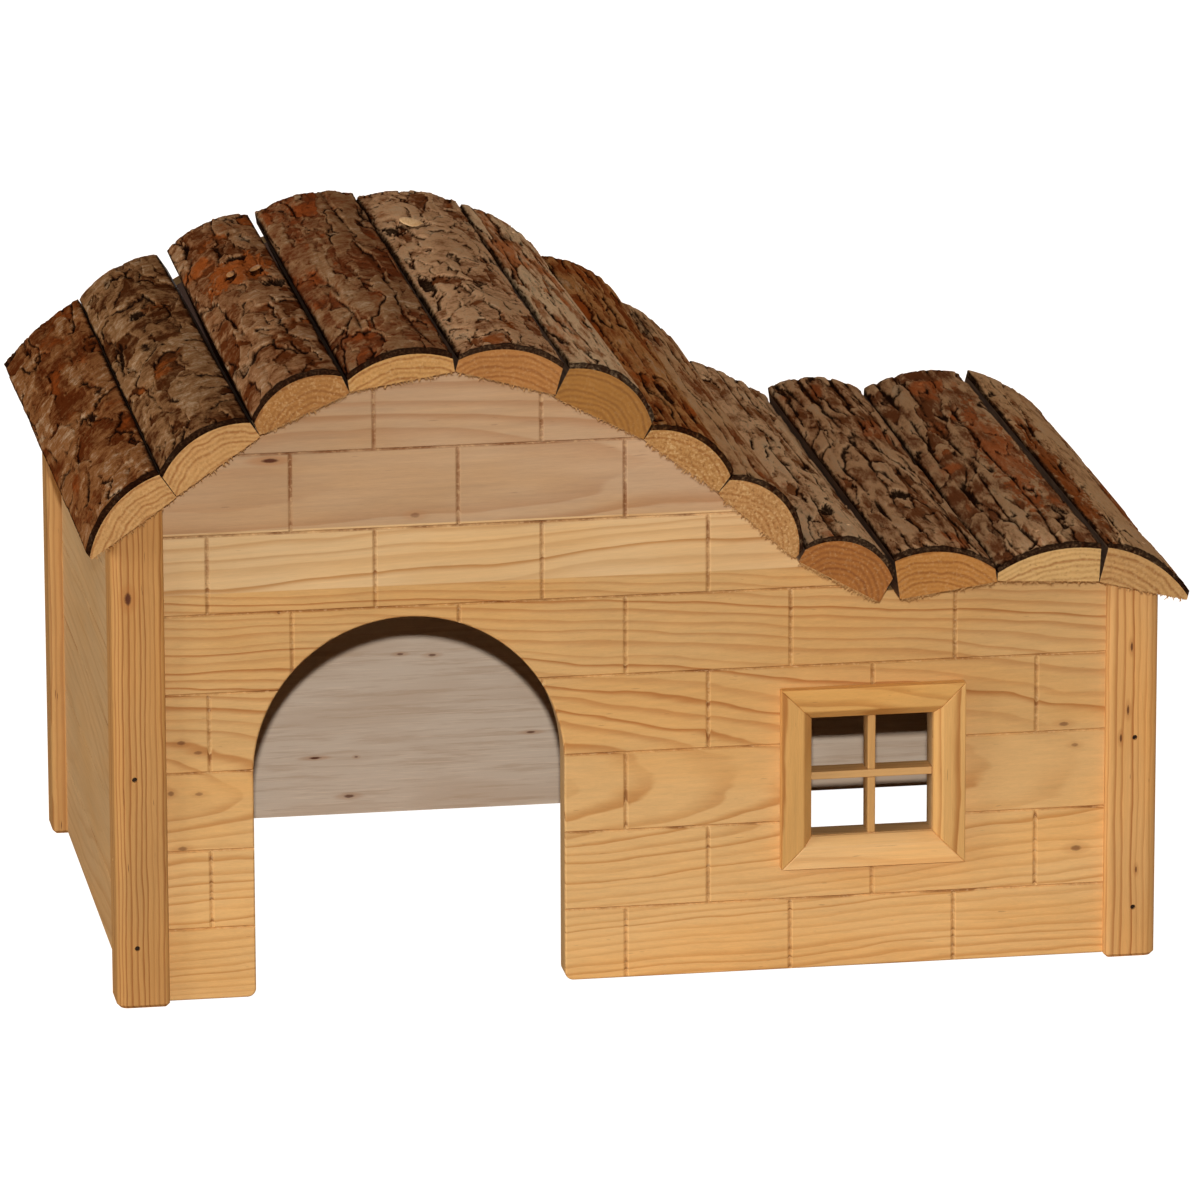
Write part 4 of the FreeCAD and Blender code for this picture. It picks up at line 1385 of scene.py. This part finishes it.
@dataclass
class Studio:
    """Pale floor, soft light and the camera."""

    eye: Triple = (-0.344309, -2.165140, 0.682990)
    turns: Triple = (-9.14639, 15.61949, -0.17335)  # degrees: heading, downwards, roll
    lens: float = 292.32
    key_rise: float = 0.078                 # metres from the lens up to the key light
    light_colour: Triple = (0.917, 0.958, 1.0)
    aim: Triple = (0.0, 0.0, 0.07)          # what every light faces
    glow: float = 1.05                      # white to the camera, and a little over
    floor_colour: Colour = (0.44, 0.29, 0.17, 1.0)      # what the floor throws back at the house
    floor_half: float = 6.0                 # metres
    surround: Colour = (1.0, 0.62, 0.36, 1.0)
    surround_strength: float = 0.10
    sensor: float = 36.0                    # mm
    clip: Pair = (0.1, 50.0)                # metres

    def build(self) -> None:
        """Builds the stage."""
        self.build_floor()
        self.build_lights()
        self.build_camera()

    def build_floor(self) -> None:
        """A wide pale floor at the house's feet."""
        mesh = bmesh.new()
        bmesh.ops.create_grid(mesh, x_segments=1, y_segments=1, size=self.floor_half)
        data = bpy.data.meshes.new("floor")
        mesh.to_mesh(data)
        mesh.free()
        floor = bpy.data.objects.new("floor", data)
        bpy.context.scene.collection.objects.link(floor)
        material, graph, _ = new_material("pale_floor")
        shader = graph.add("ShaderNodeBsdfPrincipled", {
            "Base Color": self.floor_colour, "Roughness": 0.9, "Specular IOR Level": 0.0,
        })
        glow = graph.add("ShaderNodeEmission", {"Color": (1, 1, 1, 1), "Strength": self.glow})
        bright = graph.add("ShaderNodeAddShader", {0: shader.outputs[0], 1: glow.outputs[0]})
        seen = graph.add("ShaderNodeLightPath").outputs["Is Camera Ray"]
        both = graph.add("ShaderNodeMixShader", {0: seen, 1: shader.outputs[0], 2: bright.outputs[0]})
        graph.add("ShaderNodeOutputMaterial", {"Surface": both.outputs[0]})
        data.materials.append(material)

    def build_lights(self) -> None:
        """A pale surround, a key light just over the camera, and soft fills from the sides and the rear."""
        world = bpy.data.worlds.new("studio")
        bpy.context.scene.world = world
        world.use_nodes = True
        world.node_tree.nodes.clear()
        graph = Graph(world.node_tree)
        seen = graph.add("ShaderNodeBackground", {"Color": (1, 1, 1, 1), "Strength": self.glow})
        lit = graph.add("ShaderNodeBackground", {"Color": self.surround, "Strength": self.surround_strength})
        ray = graph.add("ShaderNodeLightPath").outputs["Is Camera Ray"]
        both = graph.add("ShaderNodeMixShader", {0: ray, 1: lit.outputs[0], 2: seen.outputs[0]})
        graph.add("ShaderNodeOutputWorld", {"Surface": both.outputs[0]})
        over_lens = Vector(self.eye) + Vector((0, 0, self.key_rise))
        self.add_light("key", over_lens, 0.02, 32.4)
        self.add_light("left_fill", (-2.0, -0.6, 0.5), 0.9, 22.4)
        self.add_light("rear_fill", (0.6, 2.4, 0.7), 1.4, 9.8)
        self.add_light("rear_low", (0.2, 2.3, 0.12), 0.2, 16.0)     # level, so off the roof
        self.add_light("right_fill", (2.2, -0.2, 0.7), 1.2, 6.5)
        bpy.context.scene.view_settings.view_transform = "Standard"

    def add_light(self, name: str, place: Sequence[float], size: float, power: float) -> None:
        """Adds a square area light.

        Args:
            name: The light's name.
            place: Where it is.
            size: Its side in metres.
            power: Its power in watts.
        """
        data = bpy.data.lights.new(name, "AREA")
        data.size, data.energy, data.color = size, power, self.light_colour
        light = bpy.data.objects.new(name, data)
        turn = (Vector(self.aim) - Vector(place)).to_track_quat("-Z", "Y").to_matrix().to_4x4()
        light.matrix_world = Matrix.Translation(place) @ turn
        bpy.context.scene.collection.objects.link(light)

    def build_camera(self) -> None:
        """The camera, left of the house and a little above it."""
        data = bpy.data.cameras.new("camera")
        data.sensor_width, data.lens = self.sensor, self.lens
        data.clip_start, data.clip_end = self.clip
        camera = bpy.data.objects.new("camera", data)
        heading, down, roll = (math.radians(turn) for turn in self.turns)
        camera.matrix_world = (
            Matrix.Translation(self.eye) @ Matrix.Rotation(heading, 4, "Z")
            @ Matrix.Rotation(math.pi / 2 - down, 4, "X") @ Matrix.Rotation(roll, 4, "Z")
        )
        bpy.context.scene.collection.objects.link(camera)
        bpy.context.scene.camera = camera


def slab_choices() -> tuple[RoofSlab, ...]:
    """The twelve slabs from left to right, each with its own wood and bark.

    Returns:
        The slabs.
    """
    patch, bare, crevice, hollow = Mark

    def marks(*rows: tuple) -> tuple[BarkMark, ...]:
        return tuple(BarkMark(*row) for row in rows)

    ridged = {"plates": Flakes((3.6, 60.0), 0.34, 0.24), "layers": Layers((3.0, 40.0), 3.0),
              "cracks": (5.0, 50.0), "swirl": 0.5, "drawn": 0.2, "follow": 0.8}
    torn = {"plates": Flakes((4.8, 30.0), 0.34, 0.28), "layers": Layers((4.4, 28.0), 3.2),
            "cracks": (5.0, 40.0), "swirl": 0.7, "drawn": 0.26, "follow": 0.9}
    return (
        RoofSlab(1, {"specks": 0.5},
                 {"plate": (150, 98, 56), "body": (96, 44, 16), "fresh": (146, 70, 26)},
                 {"grey": 0.38, "bare": 0.36, "marks": marks(
                     (patch, 0.62, 0.22, 3.8, 24.0), (patch, 0.25, 0.60, 2.6, 14.0),
                     (patch, 0.60, 0.66, 3.0, 14.0),
                     (crevice, 0.66, 0.41, 1.4, 5.0))}),
        RoofSlab(2, {"specks": 0.4}, {"plate": (154, 110, 70), "body": (82, 42, 18)},
                 {"plates": Flakes((5.0, 14.0), 0.40, 0.36), "grey": 0.48, "bare": 0.1, "marks": marks(
                     (patch, 0.62, 0.20, 4.4, 18.0), (patch, 0.25, 0.72, 2.6, 14.0),
                     (crevice, 0.16, 0.58, 0.8, 12.0, -6),
                     (crevice, 0.5, 0.70, 2.2, 5.0))}),
        RoofSlab(3, {"specks": 0.5, "pale": (170, 116, 58), "deep": (134, 78, 30)},
                 {"plate": (166, 118, 78), "body": (104, 52, 22), "fresh": (172, 88, 36)},
                 {"plates": Flakes((4.6, 13.0), 0.40, 0.36), "layers": Layers((6.0, 18.0), 3.8),
                  "grey": 0.50, "bare": 0.12, "marks": marks(
                      (bare, 0.60, 0.67, 9.5, 15.0), (crevice, 0.62, 0.74, 3.0, 3.0),
                      (hollow, 0.50, 0.655, 1.6, 4.5), (hollow, 0.76, 0.645, 2.2, 4.5),
                      (crevice, 0.88, 0.55, 3.8, 5.0, 12, 0.85))},
                 ((0.50, 0.665, 1.0, 1.5, 6.0), (0.76, 0.655, 1.5, 1.4, 4.0)),
                 chip_wood=((150, 98, 50), (196, 142, 90)), splinters=0.8),
        RoofSlab(4, {"specks": 0.5, "pale": (200, 148, 84)},
                 {"plate": (164, 118, 78), "body": (118, 60, 30), "fresh": (160, 78, 34)},
                 {"plates": Flakes((5.0, 24.0), 0.42, 0.38), "layers": Layers((5.5, 24.0), 3.6),
                  "cracks": (6.5, 34.0), "follow": 0.7, "grey": 0.34, "bare": 0.5, "marks": marks(
                      (patch, 0.34, 0.62, 2.6, 26.0), (patch, 0.45, 0.32, 2.8, 22.0))}),
        RoofSlab(5, {"specks": 0.25, "pale": (180, 120, 60), "deep": (144, 84, 34)},
                 {"plate": (216, 166, 120), "body": (128, 72, 38)},
                 {"plates": Flakes((3.8, 13.0), 0.40, 0.32), "layers": Layers((5.0, 18.0), 3.8),
                  "cracks": (4.2, 13.0), "grey": 0.66, "bare": 0.1, "marks": marks(
                      (crevice, 0.10, 0.750, 2.4, 5.6, 0, 0.9),
                      (hollow, 0.34, 0.775, 4.2, 6.0),
                      (crevice, 0.10, 0.40, 1.8, 12.0),
                      (patch, 0.62, 0.62, 2.4, 10.0))},
                 ((0.34, 0.79, 3.2, 1.7, 24.0),)),
        RoofSlab(6, {"specks": 0.12, "pale": (166, 112, 48), "deep": (132, 82, 32)},
                 {"drawn": 0.16, "plate": (246, 206, 158), "body": (178, 114, 70), "fresh": (206, 122, 68)},
                 {**ridged, "grey": 0.50, "bare": 0.3}),
        RoofSlab(7, {"specks": 0.9, "pale": (186, 134, 74)},
                 {"drawn": 0.16, "plate": (202, 140, 82), "body": (140, 70, 30), "fresh": (178, 90, 36)},
                 {**ridged, "grey": 0.44, "bare": 0.42}, splinters=0.9),
        RoofSlab(8, {"specks": 0.9, "pale": (190, 138, 80)},
                 {"drawn": 0.16, "plate": (216, 166, 116), "body": (144, 82, 44), "fresh": (180, 98, 48)},
                 {**ridged, "grey": 0.52, "bare": 0.32}, splinters=1.0),
        RoofSlab(9, {"specks": 0.3, "pale": (168, 104, 44), "deep": (128, 70, 26)},
                 {"drawn": 0.25, "plate": (230, 184, 136), "body": (142, 88, 50), "fresh": (180, 100, 52)},
                 {**torn, "grey": 0.62, "bare": 0.15, "marks": marks((crevice, 0.42, 0.17, 1.4, 6.0, -8))},
                 splinters=1.0),
        RoofSlab(10, {"specks": 0.3, "pale": (190, 128, 60), "deep": (150, 88, 32)},
                 {"drawn": 0.2, "plate": (212, 164, 118), "body": (128, 76, 42), "fresh": (172, 92, 46)},
                 {**torn, "grey": 0.48, "bare": 0.25, "marks": marks((crevice, 0.45, 0.30, 3.4, 5.0))},
                 splinters=0.6),
        RoofSlab(11, {"specks": 0.5, "pale": (216, 172, 108)},
                 {"drawn": 0.2, "plate": (210, 164, 118), "body": (126, 74, 42), "fresh": (190, 104, 54)},
                 {**torn, "grey": 0.44, "bare": 0.25, "marks": marks((bare, 0.76, 0.5, 5.0, 60.0, -2, 0.8))},
                 splinters=0.6),
        RoofSlab(12, {"specks": 0.5, "pale": (200, 152, 92), "deep": (150, 94, 44), "ring": 1.5},
                 {"drawn": 0.16, "plate": (220, 172, 122), "body": (136, 80, 44)},
                 {**torn, "grey": 0.60, "bare": 0.25, "marks": marks(
                     (patch, 0.50, 0.5, 4.4, 75.0), (bare, 0.12, 0.4, 2.6, 50.0),
                     (bare, 0.9, 0.4, 2.4, 60.0))}),
    )


def main() -> None:
    """Builds the house's finishes and the stage, in order."""
    logging.basicConfig(level=logging.INFO, format="%(name)s: %(message)s")
    noise.seed_set(NOISE_SEED)
    effects = Effects()
    for part in (Walls(effects), Window(effects), Brads(), BarkRoof(effects, slab_choices()), Studio()):
        log.info("building %s", type(part).__name__)
        part.build()


if __name__ == "__main__":
    main()
